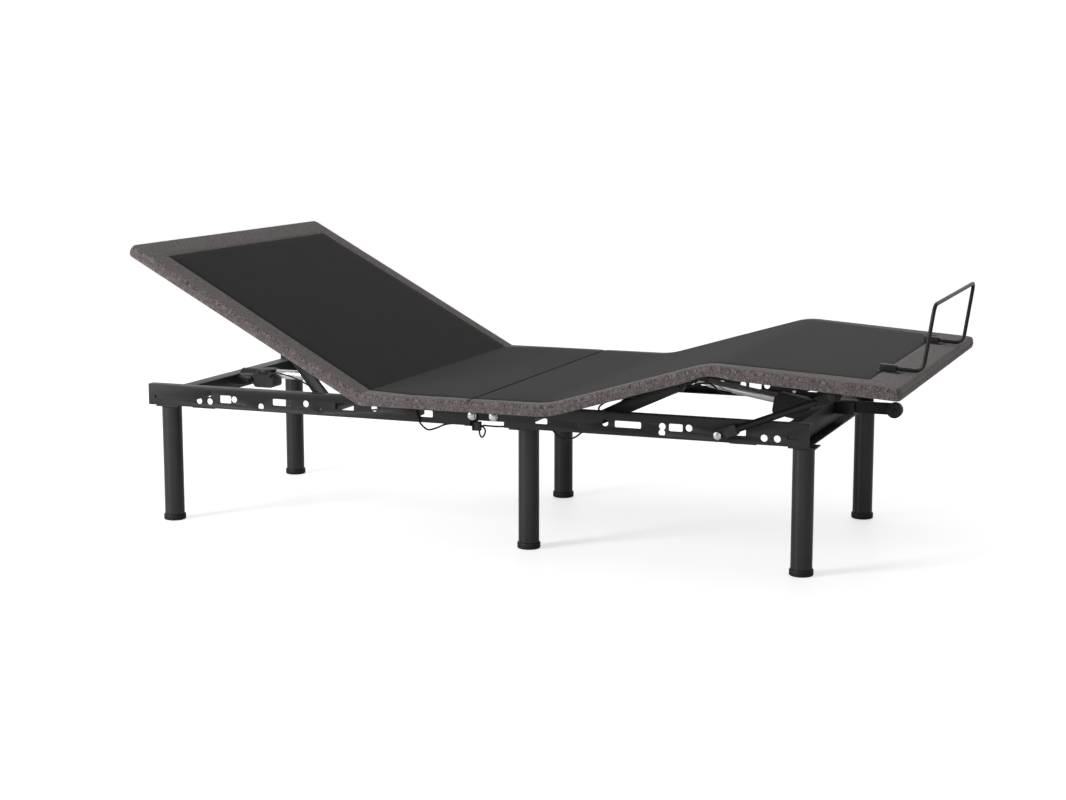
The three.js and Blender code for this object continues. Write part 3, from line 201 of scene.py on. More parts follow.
area_light("overhead_softbox", (0.2, 0.4, 3.6), (0.0, 0.0, 0.3), (4.5, 3.5), 9)
area_light("left_softbox", (-3.2, -3.9, 2.1), (0.1, 0.0, 0.35), (1.5, 2.6), 158)
area_light("front_fill", (1.6, -4.8, 1.2), (0.0, 0.0, 0.3), (3.0, 2.0), 14)


def studio_world():
    """Soft light from behind the far side, dimmer elsewhere, and plain white where the camera sees it."""
    world = bpy.data.worlds.new("studio")
    SCENE.world = world
    world.use_nodes = True
    nodes, links = world.node_tree.nodes, world.node_tree.links
    sky = nodes["Background"]
    sky.inputs["Color"].default_value = (1, 1, 1, 1)
    seen = nodes.new("ShaderNodeBackground")
    seen.inputs["Color"].default_value = (1, 1, 1, 1)
    seen.inputs["Strength"].default_value = 1.05
    heading = nodes.new("ShaderNodeTexCoord")
    behind = nodes.new("ShaderNodeVectorMath")
    behind.operation = "DOT_PRODUCT"
    behind.inputs[1].default_value = (-0.35, 0.90, 0.25)
    backdrop = nodes.new("ShaderNodeMapRange")
    backdrop.interpolation_type = "SMOOTHSTEP"
    for socket, value in {"From Min": 0.15, "From Max": 0.90, "To Min": 0.27, "To Max": 0.70}.items():
        backdrop.inputs[socket].default_value = value
    links.new(heading.outputs["Generated"], behind.inputs[0])
    links.new(behind.outputs["Value"], backdrop.inputs["Value"])
    links.new(backdrop.outputs["Result"], sky.inputs["Strength"])
    rays = nodes.new("ShaderNodeLightPath")
    mixed = nodes.new("ShaderNodeMixShader")
    links.new(rays.outputs["Is Camera Ray"], mixed.inputs["Fac"])
    links.new(sky.outputs["Background"], mixed.inputs[1])
    links.new(seen.outputs["Background"], mixed.inputs[2])
    links.new(mixed.outputs["Shader"], nodes["World Output"].inputs["Surface"])


studio_world()


def pale_floor():
    """A white floor that stays bright to the horizon and still takes a soft shadow."""
    material, tree, shader = new_material("pale_floor", (0.90, 0.90, 0.90), 0.5, Specular_IOR_Level=0.2)
    glow = tree.nodes.new("ShaderNodeEmission")
    glow.inputs["Strength"].default_value = 0.62
    added = tree.nodes.new("ShaderNodeAddShader")
    chosen = tree.nodes.new("ShaderNodeMixShader")
    rays = tree.nodes.new("ShaderNodeLightPath")
    tree.links.new(shader.outputs["BSDF"], added.inputs[0])
    tree.links.new(glow.outputs["Emission"], added.inputs[1])
    tree.links.new(rays.outputs["Is Camera Ray"], chosen.inputs["Fac"])
    tree.links.new(shader.outputs["BSDF"], chosen.inputs[1])
    tree.links.new(added.outputs["Shader"], chosen.inputs[2])
    tree.links.new(chosen.outputs["Shader"], tree.nodes["Material Output"].inputs["Surface"])
    return material


FLOOR_REACH = 40
floor_mesh = bpy.data.meshes.new("floor")
floor_mesh.from_pydata(
    [(x * FLOOR_REACH, y * FLOOR_REACH, 0) for x, y in ((-1, -1), (1, -1), (1, 1), (-1, 1))],
    [], [(0, 1, 2, 3)])
floor = bpy.data.objects.new("floor", floor_mesh)
SCENE.collection.objects.link(floor)
floor_mesh.materials.append(pale_floor())


# ---- Shared surface effects ----------------------------------------------------------------------------

def effect_group(name, inputs, outputs):
    """A shader node group with named inputs (and defaults) and outputs."""
    tree = bpy.data.node_groups.new(name, "ShaderNodeTree")
    for label, kind, value in inputs:
        socket = tree.interface.new_socket(name=label, in_out="INPUT", socket_type=f"NodeSocket{kind}")
        if value is not None:
            socket.default_value = value
    for label, kind in outputs:
        tree.interface.new_socket(name=label, in_out="OUTPUT", socket_type=f"NodeSocket{kind}")
    return tree, tree.nodes.new("NodeGroupInput"), tree.nodes.new("NodeGroupOutput")


def math_node(tree, operation, a, b=None):
    node = tree.nodes.new("ShaderNodeMath")
    node.operation = operation
    for socket, value in zip(node.inputs, (a, b)):
        if value is None:
            continue
        if isinstance(value, (int, float)):
            socket.default_value = value
        else:
            tree.links.new(value, socket)
    return node.outputs["Value"]


def noise_node(tree, vector, scale, detail=2.0, roughness=0.5):
    node = tree.nodes.new("ShaderNodeTexNoise")
    node.inputs["Detail"].default_value = detail
    node.inputs["Roughness"].default_value = roughness
    tree.links.new(vector, node.inputs["Vector"])
    if isinstance(scale, (int, float)):
        node.inputs["Scale"].default_value = scale
    else:
        tree.links.new(scale, node.inputs["Scale"])
    return node.outputs["Fac"]


def ramp_node(tree, factor, stops):
    node = tree.nodes.new("ShaderNodeValToRGB")
    elements = node.color_ramp.elements
    while len(elements) < len(stops):
        elements.new(0.5)
    for element, (place, colour) in zip(elements, stops):
        element.position = place
        element.color = (*colour, 1.0)
    tree.links.new(factor, node.inputs["Fac"])
    return node.outputs["Color"]


def build_grain():
    """Fine moulded or sprayed grain: a varied roughness, a height for bumps and a slow mottle."""
    tree, inputs, outputs = effect_group(
        "surface_grain",
        [("Vector", "Vector", None), ("Grain Scale", "Float", 900.0), ("Mottle Scale", "Float", 14.0),
         ("Roughness", "Float", 0.4), ("Variation", "Float", 0.08)],
        [("Roughness", "Float"), ("Height", "Float"), ("Mottle", "Float")],
    )
    vector = inputs.outputs["Vector"]
    grain = noise_node(tree, vector, inputs.outputs["Grain Scale"], 2.0)
    mottle = noise_node(tree, vector, inputs.outputs["Mottle Scale"], 4.0, 0.6)
    swing = math_node(tree, "SUBTRACT", mottle, 0.5)
    swing = math_node(tree, "MULTIPLY", swing, inputs.outputs["Variation"])
    swing = math_node(tree, "MULTIPLY", swing, 2.0)
    tree.links.new(math_node(tree, "ADD", inputs.outputs["Roughness"], swing), outputs.inputs["Roughness"])
    tree.links.new(grain, outputs.inputs["Height"])
    tree.links.new(mottle, outputs.inputs["Mottle"])
    return tree


def build_painted_edge_highlight():
    """Paints a lighter colour along sharp corners: a painted highlight, standing in for the light that edges
    catch.
    """
    tree, inputs, outputs = effect_group(
        "painted_edge_highlight",
        [("Color", "Color", (0.02, 0.02, 0.02, 1)), ("Worn Color", "Color", (0.1, 0.1, 0.1, 1)),
         ("Amount", "Float", 0.5)],
        [("Color", "Color")],
    )
    geometry = tree.nodes.new("ShaderNodeNewGeometry")
    # Painted highlight: sharp corners, found by their pointiness, are coloured lighter as if they caught the
    # light.
    edge = math_node(tree, "SUBTRACT", geometry.outputs["Pointiness"], 0.52)
    edge = math_node(tree, "MULTIPLY", edge, 14.0)
    edge = math_node(tree, "MINIMUM", math_node(tree, "MAXIMUM", edge, 0.0), 1.0)
    edge = math_node(tree, "MULTIPLY", edge, inputs.outputs["Amount"])
    mix = tree.nodes.new("ShaderNodeMix")
    mix.data_type = "RGBA"
    tree.links.new(edge, mix.inputs["Factor"])
    tree.links.new(inputs.outputs["Color"], mix.inputs["A"])
    tree.links.new(inputs.outputs["Worn Color"], mix.inputs["B"])
    tree.links.new(mix.outputs["Result"], outputs.inputs["Color"])
    return tree


def build_weave():
    """Over-and-under yarns on the piece's own cloth map, each float in its own shade."""
    tree, inputs, outputs = effect_group(
        "yarn_weave",
        [("Vector", "Vector", None), ("Yarns Per Metre", "Float", 560.0), ("Slub", "Float", 0.5)],
        [("Height", "Float"), ("Yarn Shade", "Float"), ("Mottle", "Float")],
    )
    vector = inputs.outputs["Vector"]
    pitch = tree.nodes.new("ShaderNodeVectorMath")
    pitch.operation = "SCALE"
    tree.links.new(vector, pitch.inputs[0])
    tree.links.new(inputs.outputs["Yarns Per Metre"], pitch.inputs["Scale"])
    split = tree.nodes.new("ShaderNodeSeparateXYZ")
    tree.links.new(pitch.outputs["Vector"], split.inputs["Vector"])
    along = math_node(tree, "SINE", math_node(tree, "MULTIPLY", split.outputs["X"], math.pi))
    across = math_node(tree, "SINE", math_node(tree, "MULTIPLY", split.outputs["Y"], math.pi))
    cross = math_node(tree, "MULTIPLY", along, across)
    bulge = math_node(tree, "ABSOLUTE", cross)
    fuzz = noise_node(tree, vector, 2600.0, 3.0, 0.7)
    height = math_node(tree, "ADD", bulge, math_node(tree, "MULTIPLY", fuzz, inputs.outputs["Slub"]))
    cells = tree.nodes.new("ShaderNodeTexVoronoi")
    cells.inputs["Scale"].default_value = 1.05
    stretch = tree.nodes.new("ShaderNodeMapping")
    stretch.inputs["Scale"].default_value = (0.55, 1.0, 1.0)
    tree.links.new(pitch.outputs["Vector"], stretch.inputs["Vector"])
    tree.links.new(stretch.outputs["Vector"], cells.inputs["Vector"])
    shade = tree.nodes.new("ShaderNodeSeparateColor")
    tree.links.new(cells.outputs["Color"], shade.inputs["Color"])
    tree.links.new(height, outputs.inputs["Height"])
    tree.links.new(shade.outputs["Red"], outputs.inputs["Yarn Shade"])
    tree.links.new(noise_node(tree, vector, 190.0, 5.0, 0.75), outputs.inputs["Mottle"])
    return tree


GRAIN = build_grain()
PAINTED_EDGE_HIGHLIGHT = build_painted_edge_highlight()
WEAVE = build_weave()


def placed(tree, group, vector, **values):
    node = tree.nodes.new("ShaderNodeGroup")
    node.node_tree = group
    if vector is not None:
        tree.links.new(vector, node.inputs["Vector"])
    for label, value in values.items():
        node.inputs[label.replace("_", " ")].default_value = value
    return node


def coordinates(tree, output="Object"):
    return tree.nodes.new("ShaderNodeTexCoord").outputs[output]


def bump(tree, shader, height, distance, strength=1.0):
    node = tree.nodes.new("ShaderNodeBump")
    node.inputs["Distance"].default_value = distance
    node.inputs["Strength"].default_value = strength
    tree.links.new(height, node.inputs["Height"])
    tree.links.new(node.outputs["Normal"], shader.inputs["Normal"])


def grained(name, base, roughness, metallic=0.0, grain=900.0, depth=0.00008, variation=0.08, highlight_colour=None,
            **sockets):
    """A hard finish with grain in its bump and roughness and, where a highlight colour is given, a painted
    highlight that lightens its corners.
    """
    material, tree, shader = new_material(name, base, roughness, metallic, **sockets)
    node = placed(tree, GRAIN, coordinates(tree), Grain_Scale=grain, Roughness=roughness,
                  Variation=variation)
    tree.links.new(node.outputs["Roughness"], shader.inputs["Roughness"])
    bump(tree, shader, node.outputs["Height"], depth, 0.6)
    tint = ramp_node(tree, node.outputs["Mottle"],
                     [(0.3, tuple(c * 0.86 for c in base)), (0.7, tuple(c * 1.12 for c in base))])
    # Corners get a painted highlight in the given lighter colour.
    if highlight_colour:
        highlight_mix = placed(tree, PAINTED_EDGE_HIGHLIGHT, None, Worn_Color=(*highlight_colour, 1.0))
        tree.links.new(tint, highlight_mix.inputs["Color"])
        tint = highlight_mix.outputs["Color"]
    tree.links.new(tint, shader.inputs["Base Color"])
    return material


# The steel finishes carry a painted highlight: their corners are coloured lighter, standing in for light caught
# along the edges.
POWDER_COAT = grained("black_powder_coat", (0.0080, 0.0082, 0.0090), 0.36, grain=1100.0, depth=0.00012,
                      highlight_colour=(0.06, 0.06, 0.062), Specular_IOR_Level=0.32)
LEG_ENAMEL = grained("black_leg_enamel", (0.0115, 0.0115, 0.0122), 0.24, grain=700.0, depth=0.00006,
                     variation=0.05, highlight_colour=(0.05, 0.05, 0.05), Specular_IOR_Level=0.42)
MOULDED = grained("black_moulded_plastic", (0.0095, 0.0095, 0.0100), 0.47, grain=1500.0, depth=0.0001)
RUBBER = grained("black_rubber", (0.010, 0.010, 0.010), 0.62, grain=800.0, depth=0.00012)
JACKET = grained("lead_jacket", (0.008, 0.008, 0.008), 0.42, grain=1200.0, depth=0.00004)
ZINC = grained("zinc_plate", (0.66, 0.67, 0.69), 0.24, 1.0, grain=500.0, depth=0.00003, variation=0.12)
ALUMINIUM = grained("satin_aluminium", (0.88, 0.89, 0.90), 0.30, 1.0, grain=240.0, depth=0.00002,
                    variation=0.06)
CHROME_ROD = grained("ground_rod", (0.62, 0.63, 0.65), 0.16, 1.0, grain=300.0, depth=0.00001)


def tweed_material():
    material, tree, shader = new_material("melange_tweed", (0.12, 0.1, 0.1), 0.92, Sheen_Weight=0.25,
                                          Sheen_Roughness=0.6, Specular_IOR_Level=0.15)
    uv = coordinates(tree, "UV")
    weave = placed(tree, WEAVE, uv)
    blended = math_node(tree, "ADD", math_node(tree, "MULTIPLY", weave.outputs["Yarn Shade"], 0.62),
                        math_node(tree, "MULTIPLY", weave.outputs["Mottle"], 0.50))
    colour = ramp_node(tree, blended, [
        (0.25, (0.064, 0.050, 0.050)),
        (0.48, (0.112, 0.090, 0.090)),
        (0.66, (0.160, 0.132, 0.132)),
        (0.88, (0.245, 0.206, 0.206)),
    ])
    tree.links.new(colour, shader.inputs["Base Color"])
    bump(tree, shader, weave.outputs["Height"], 0.00045, 0.8)
    return material


def top_cloth_material():
    material, tree, shader = new_material("charcoal_nonwoven", (0.019, 0.018, 0.017), 0.70,
                                          Sheen_Weight=0.085, Sheen_Roughness=0.30,
                                          Specular_IOR_Level=0.14)
    uv = coordinates(tree, "UV")
    fibres = noise_node(tree, uv, 1500.0, 4.0, 0.8)
    soft = noise_node(tree, uv, 9.0, 3.0, 0.5)
    dimples = tree.nodes.new("ShaderNodeTexVoronoi")
    dimples.inputs["Scale"].default_value = 520.0
    tree.links.new(uv, dimples.inputs["Vector"])
    colour = ramp_node(tree, soft, [(0.3, (0.0112, 0.0100, 0.0090)), (0.7, (0.0142, 0.0129, 0.0118))])
    tree.links.new(colour, shader.inputs["Base Color"])
    height = math_node(tree, "ADD", fibres, math_node(tree, "MULTIPLY", dimples.outputs["Distance"], 0.8))
    bump(tree, shader, height, 0.00022, 0.7)
    return material


TWEED = tweed_material()
TOP_CLOTH = top_cloth_material()
THREAD = grained("seam_thread", (0.030, 0.028, 0.028), 0.7, grain=2500.0, depth=0.00005)

NODE_FINISH = {
    "black_steel": POWDER_COAT, "tweed_cover": TWEED, "black_rubber": RUBBER, "black_plastic": MOULDED,
    "lead_jacket": JACKET, "zinc": ZINC, "aluminium": ALUMINIUM,
}
SLOT_OF = {s["node"]: s["material_slot"] for s in frame["record"]["subparts"]}


# ---- Mesh helpers --------------------------------------------------------------------------------------

def link_piece(name, mesh, material, body, *replaced, slot):
    """A finished piece that rides on a body and stands for the nodes it replaces."""
    piece = bpy.data.objects.new(name, mesh)
    SCENE.collection.objects.link(piece)
    mesh.materials.clear()
    mesh.materials.append(material)
    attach(piece, body)
    if replaced:
        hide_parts(*replaced)


def finish_mesh(bm, name, smooth_angle=32.0):
    """Turns a bmesh into a mesh that is smooth apart from edges sharper than an angle."""
    bm.normal_update()
    limit = math.radians(smooth_angle)
    for face in bm.faces:
        face.smooth = True
    for edge in bm.edges:
        edge.smooth = len(edge.link_faces) == 2 and edge.calc_face_angle(0.0) < limit
    mesh = bpy.data.meshes.new(name)
    bm.to_mesh(mesh)
    bm.free()
    return mesh


def merged_copy(node):
    """A node's shape with its loose triangles joined."""
    bm = bmesh.new()
    bm.from_mesh(NODES[node].data)
    bmesh.ops.remove_doubles(bm, verts=bm.verts, dist=2e-6)
    return bm


def softened(node, radius, material=None):
    """A node's own shape with its hard corners eased, so that they catch the light."""
    bm = merged_copy(node)
    bmesh.ops.dissolve_limit(bm, angle_limit=math.radians(1.0), verts=bm.verts, edges=bm.edges)
    bm.normal_update()
    hard = [e for e in bm.edges
            if len(e.link_faces) == 2 and e.calc_face_angle(0.0) > math.radians(40)
            and e.calc_length() > 2.2 * radius]
    if radius > 0 and hard:
        bmesh.ops.bevel(bm, geom=hard, offset=radius, segments=2, profile=0.5, affect="EDGES",
                        clamp_overlap=True)
    bmesh.ops.triangulate(bm, faces=[f for f in bm.faces if len(f.verts) > 4])
    slot = SLOT_OF[node]
    mesh = finish_mesh(bm, f"{node}_finished")
    link_piece(f"{node}_finished", mesh, material or NODE_FINISH[slot], BODY_OF[node], node, slot=slot)


def turned(profile, place):
    """A closed solid of revolution that stands upright: profile points are height and radius."""
    bm = bmesh.new()
    rings = []
    for rise, radius in profile:
        if radius == 0:
            rings.append([bm.verts.new(Vector(place) + Vector((0, 0, rise)))])
            continue
        turns = [2 * math.pi * i / LEG_SIDES for i in range(LEG_SIDES)]
        rings.append([
            bm.verts.new(Vector(place) + Vector((radius * math.cos(turn), radius * math.sin(turn), rise)))
            for turn in turns
        ])
    for lower, upper in zip(rings, rings[1:]):
        for i in range(LEG_SIDES):
            j = (i + 1) % LEG_SIDES
            corners = [lower[i % len(lower)], lower[j % len(lower)], upper[j % len(upper)],
                       upper[i % len(upper)]]
            unique = list(dict.fromkeys(corners))
            if len(unique) > 2:
                bm.faces.new(unique)
    bmesh.ops.remove_doubles(bm, verts=bm.verts, dist=1e-6)
    bmesh.ops.recalc_face_normals(bm, faces=bm.faces)
    return bm


# ---- Legs ----------------------------------------------------------------------------------------------

LEG_ROUND = 0.0012
LEG_WALL = 0.002
LEG_SIDES = 72


def leg_and_cap(place):
    """A leg's tube and the ribbed rubber cap on its foot."""
    low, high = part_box(f"leg_{place}")
    x, y = (low.x + high.x) / 2, (low.y + high.y) / 2
    radius = (high.x - low.x) / 2
    tube = turned([
        (low.z, radius - LEG_WALL), (low.z, radius), (high.z - LEG_ROUND, radius),
        (high.z, radius - LEG_ROUND), (high.z, radius - LEG_WALL), (low.z, radius - LEG_WALL),
    ], (x, y, 0))
    link_piece(f"leg_{place}_tube", finish_mesh(tube, f"leg_{place}_tube"), LEG_ENAMEL,
               BODY_OF[f"leg_{place}"], f"leg_{place}", slot="black_steel")
    low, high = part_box(f"leg_cap_{place}")
    radius = (high.x - low.x) / 2
    rise = high.z - low.z
    cap = turned([
        (0, 0), (0, radius - 0.0030), (0.0009, radius - 0.0010), (0.0028, radius),
        (rise * 0.42, radius), (rise * 0.46, radius - 0.0008), (rise * 0.54, radius - 0.0008),
        (rise * 0.58, radius), (rise - 0.0028, radius), (rise - 0.0009, radius - 0.0009),
        (rise, radius - 0.0028), (rise, 0),
    ], (x, y, low.z))
    link_piece(f"leg_cap_{place}_moulding", finish_mesh(cap, f"leg_cap_{place}_moulding"), RUBBER,
               BODY_OF[f"leg_cap_{place}"], f"leg_cap_{place}", slot="black_rubber")


for place in ("head_near", "head_far", "middle_far", "middle_near", "foot_near", "foot_far"):
    leg_and_cap(place)


# ---- Frame, arms, links and other steel ----------------------------------------------------------------

LEG_LIFT_STEEL = ("leg_lift_frame", "leg_actuator_bracket")
for node in NODES:
    if node in LEG_LIFT_STEEL or (SLOT_OF[node] == "black_steel" and not node.startswith("leg_")):
        softened(node, 0.0008 if "rail" in node or "beam" in node else 0.0006)
    elif SLOT_OF[node] == "zinc":
        softened(node, 0.0008)
    elif SLOT_OF[node] == "black_plastic":
        softened(node, 0.0010)

# ---- Actuator tubes and rods ---------------------------------------------------------------------------

for node in ("back_actuator_tube", "leg_actuator_tube"):
    softened(node, 0.0008, ALUMINIUM)
for node in ("back_actuator_rod", "leg_actuator_rod"):
    softened(node, 0.0005, CHROME_ROD)


# ---- Deck covers ---------------------------------------------------------------------------------------

seat_low, seat_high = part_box("seat_panel_head")
DECK_TOP = seat_high.z
DECK_THICKNESS = seat_high.z - seat_low.z
DECK_HALF = seat_high.y
EDGE_ROUND = 0.011
UNDER_ROUND = EDGE_ROUND * 0.75
MEETING_ROUND = 0.0045
CORNER_ROUND = 0.016
SEAM_DEPTH = 0.0011
SEAM_HALF_WIDTH = 0.0026
CROWN = 0.0012
CROWN_REACH = 0.035
SIDE_BULGE = 0.0012
SIDE_STEPS = 4
UNDER_GAP = 0.0006
RIPPLE = 0.00016
RIPPLE_WAVES = 7
RIPPLE_SEED = 7
INNER_LINES = 46
STATION_STEP = 0.014
KNEE_RELIEF = 0.0045
KNEE_RELIEF_REACH = 0.075

BACK_HINGE = Vector(JOINT["back_lift"]["pos_m"])
THIGH_HINGE = Vector(JOINT["thigh_lift"]["pos_m"])
KNEE = Vector(JOINT["knee"]["pos_m"])
back_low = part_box("back_panel")[0]
foot_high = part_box("foot_panel")[1]
BACK_ANGLE = math.radians(28.5)
THIGH_ANGLE = math.radians(16.6)
FOOT_ANGLE = math.radians(4.1)


class DeckPath:
    """The line of the deck's top surface in X and Z, made of straights and arcs."""

    def __init__(self, x, z, heading, stretches, relieved=None):
        self.pieces = []
        self.relief_at = None
        start = 0.0
        for kind, size, turn in stretches:
            length = size if kind == "line" else size * abs(turn)
            self.pieces.append((start, length, kind, x, z, heading, size, turn))
            x, z, heading = self._step(kind, x, z, heading, size, turn, length)
            if len(self.pieces) - 1 == relieved:
                self.relief_at = start + length / 2
            start += length
        self.length = start

    @staticmethod
    def _step(kind, x, z, heading, size, turn, distance):
        if kind == "line":
            return x + distance * math.cos(heading), z + distance * math.sin(heading), heading
        sign = math.copysign(1.0, turn)
        after = heading + sign * distance / size
        return (x + sign * size * (math.sin(after) - math.sin(heading)),
                z - sign * size * (math.cos(after) - math.cos(heading)), after)

    def at(self, s):
        for start, length, kind, x, z, heading, size, turn in self.pieces:
            if s <= start + length + 1e-9:
                break
        return self._step(kind, x, z, heading, size, turn, s - start)


def spread(a, b, step):
    """Even places from a up to b, no further apart than a step."""
    count = max(1, math.ceil(abs(b - a) / step))
    return [a + (b - a) * i / count for i in range(count)]


EDGE_LINES = (0.0, 0.0006, 0.0018, 0.0036, 0.0062, 0.0096, 0.0140)
SEAM_LINES = (-0.0050, -0.0022, 0.0, 0.0022, 0.0050)


def station_list(path, s0, s1, round_start, round_end, seams):
    """Stations along a cover: fine at rounded ends, bends and seams, even between them."""
    marks = {round(s0, 6), round(s1, 6)}
    for start, length, kind, *_ in path.pieces:
        if kind == "arc" and s0 < start + length / 2 < s1:
            marks.update(round(start + length * share, 6) for share in (0, 0.25, 0.5, 0.75, 1))
            marks.update((round(start - 0.006, 6), round(start + length + 0.006, 6)))
    if round_start:
        marks.update(round(s0 + d, 6) for d in EDGE_LINES + (CORNER_ROUND,))
    if round_end:
        marks.update(round(s1 - d, 6) for d in EDGE_LINES + (CORNER_ROUND,))
    for seam in seams:
        marks.update(round(seam + d, 6) for d in SEAM_LINES)
    ordered = sorted(marks)
    filled = []
    for a, b in zip(ordered, ordered[1:]):
        filled.extend(spread(a, b, STATION_STEP))
    return filled + [ordered[-1]]


def superellipse_drop(distance, radius, power=2.3):
    """How far a rounded edge has dropped at a distance inside it."""
    if distance >= radius:
        return 0.0
    distance = max(distance, 0.0)
    return radius * (1 - (1 - (1 - distance / radius) ** power) ** (1 / power))


def stitch_tree():
    """Stitches of thread along the lines of a mesh, a pitch apart."""
    tree = bpy.data.node_groups.new("seam_stitches", "GeometryNodeTree")
    sockets = tree.interface
    sockets.new_socket("Line", in_out="INPUT", socket_type="NodeSocketGeometry")
    for socket in ("Pitch", "Stitch Length", "Thread Radius"):
        sockets.new_socket(socket, in_out="INPUT", socket_type="NodeSocketFloat")
    sockets.new_socket("Thread", in_out="INPUT", socket_type="NodeSocketMaterial")
    sockets.new_socket("Stitches", in_out="OUTPUT", socket_type="NodeSocketGeometry")
    new = tree.nodes.new
    given, result = new("NodeGroupInput"), new("NodeGroupOutput")
    curve, resample = new("GeometryNodeMeshToCurve"), new("GeometryNodeResampleCurve")
    resample.mode = "LENGTH"
    tangent, turn = new("GeometryNodeInputTangent"), new("FunctionNodeAlignRotationToVector")
    turn.axis = "X"
    bead = new("GeometryNodeMeshUVSphere")
    bead.inputs["Segments"].default_value = 6
    bead.inputs["Rings"].default_value = 4
    bead.inputs["Radius"].default_value = 1.0
    halved, size = new("ShaderNodeMath"), new("ShaderNodeCombineXYZ")
    halved.operation = "MULTIPLY"
    halved.inputs[1].default_value = 0.5
    place, real = new("GeometryNodeInstanceOnPoints"), new("GeometryNodeRealizeInstances")
    smooth, finish = new("GeometryNodeSetShadeSmooth"), new("GeometryNodeSetMaterial")
    for source, output, target, socket in (
        (given, "Line", curve, "Mesh"), (curve, "Curve", resample, "Curve"),
        (given, "Pitch", resample, "Length"), (resample, "Curve", place, "Points"),
        (bead, "Mesh", place, "Instance"), (tangent, "Tangent", turn, "Vector"),
        (turn, "Rotation", place, "Rotation"), (given, "Stitch Length", halved, 0),
        (halved, "Value", size, "X"), (given, "Thread Radius", size, "Y"),
        (given, "Thread Radius", size, "Z"), (size, "Vector", place, "Scale"),
        (place, "Instances", real, "Geometry"), (real, "Geometry", smooth, "Geometry"),
        (smooth, "Geometry", finish, "Geometry"), (given, "Thread", finish, "Material"),
        (finish, "Geometry", result, "Stitches"),
    ):
        tree.links.new(source.outputs[output], target.inputs[socket])
    return tree


STITCH_TREE = stitch_tree()
STITCH_SIZES = {"Pitch": 0.0042, "Stitch Length": 0.0032, "Thread Radius": 0.00042, "Thread": THREAD}


def stitched(name, lines):
    """The stitches along the given lines of points, as one mesh."""
    mesh = bpy.data.meshes.new(f"{name}_lines")
    points, edges = [], []
    for line in lines:
        edges += [(len(points) + i, len(points) + i + 1) for i in range(len(line) - 1)]
        points += line
    mesh.from_pydata(points, edges, [])
    piece = bpy.data.objects.new(name, mesh)
    SCENE.collection.objects.link(piece)
    modifier = piece.modifiers.new("stitches", "NODES")
    modifier.node_group = STITCH_TREE
    for socket in STITCH_TREE.interface.items_tree:
        if socket.in_out == "INPUT" and socket.name in STITCH_SIZES:
            modifier[socket.identifier] = STITCH_SIZES[socket.name]
    evaluated = piece.evaluated_get(bpy.context.evaluated_depsgraph_get())
    made = bpy.data.meshes.new_from_object(evaluated)
    piece.modifiers.remove(modifier)
    piece.data = made
    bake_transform(piece)


STITCH_INSET = 0.0045
STITCH_STOP = 0.007
SEAM_POINTS = 160
CROSS_SEAM_POINTS = 80


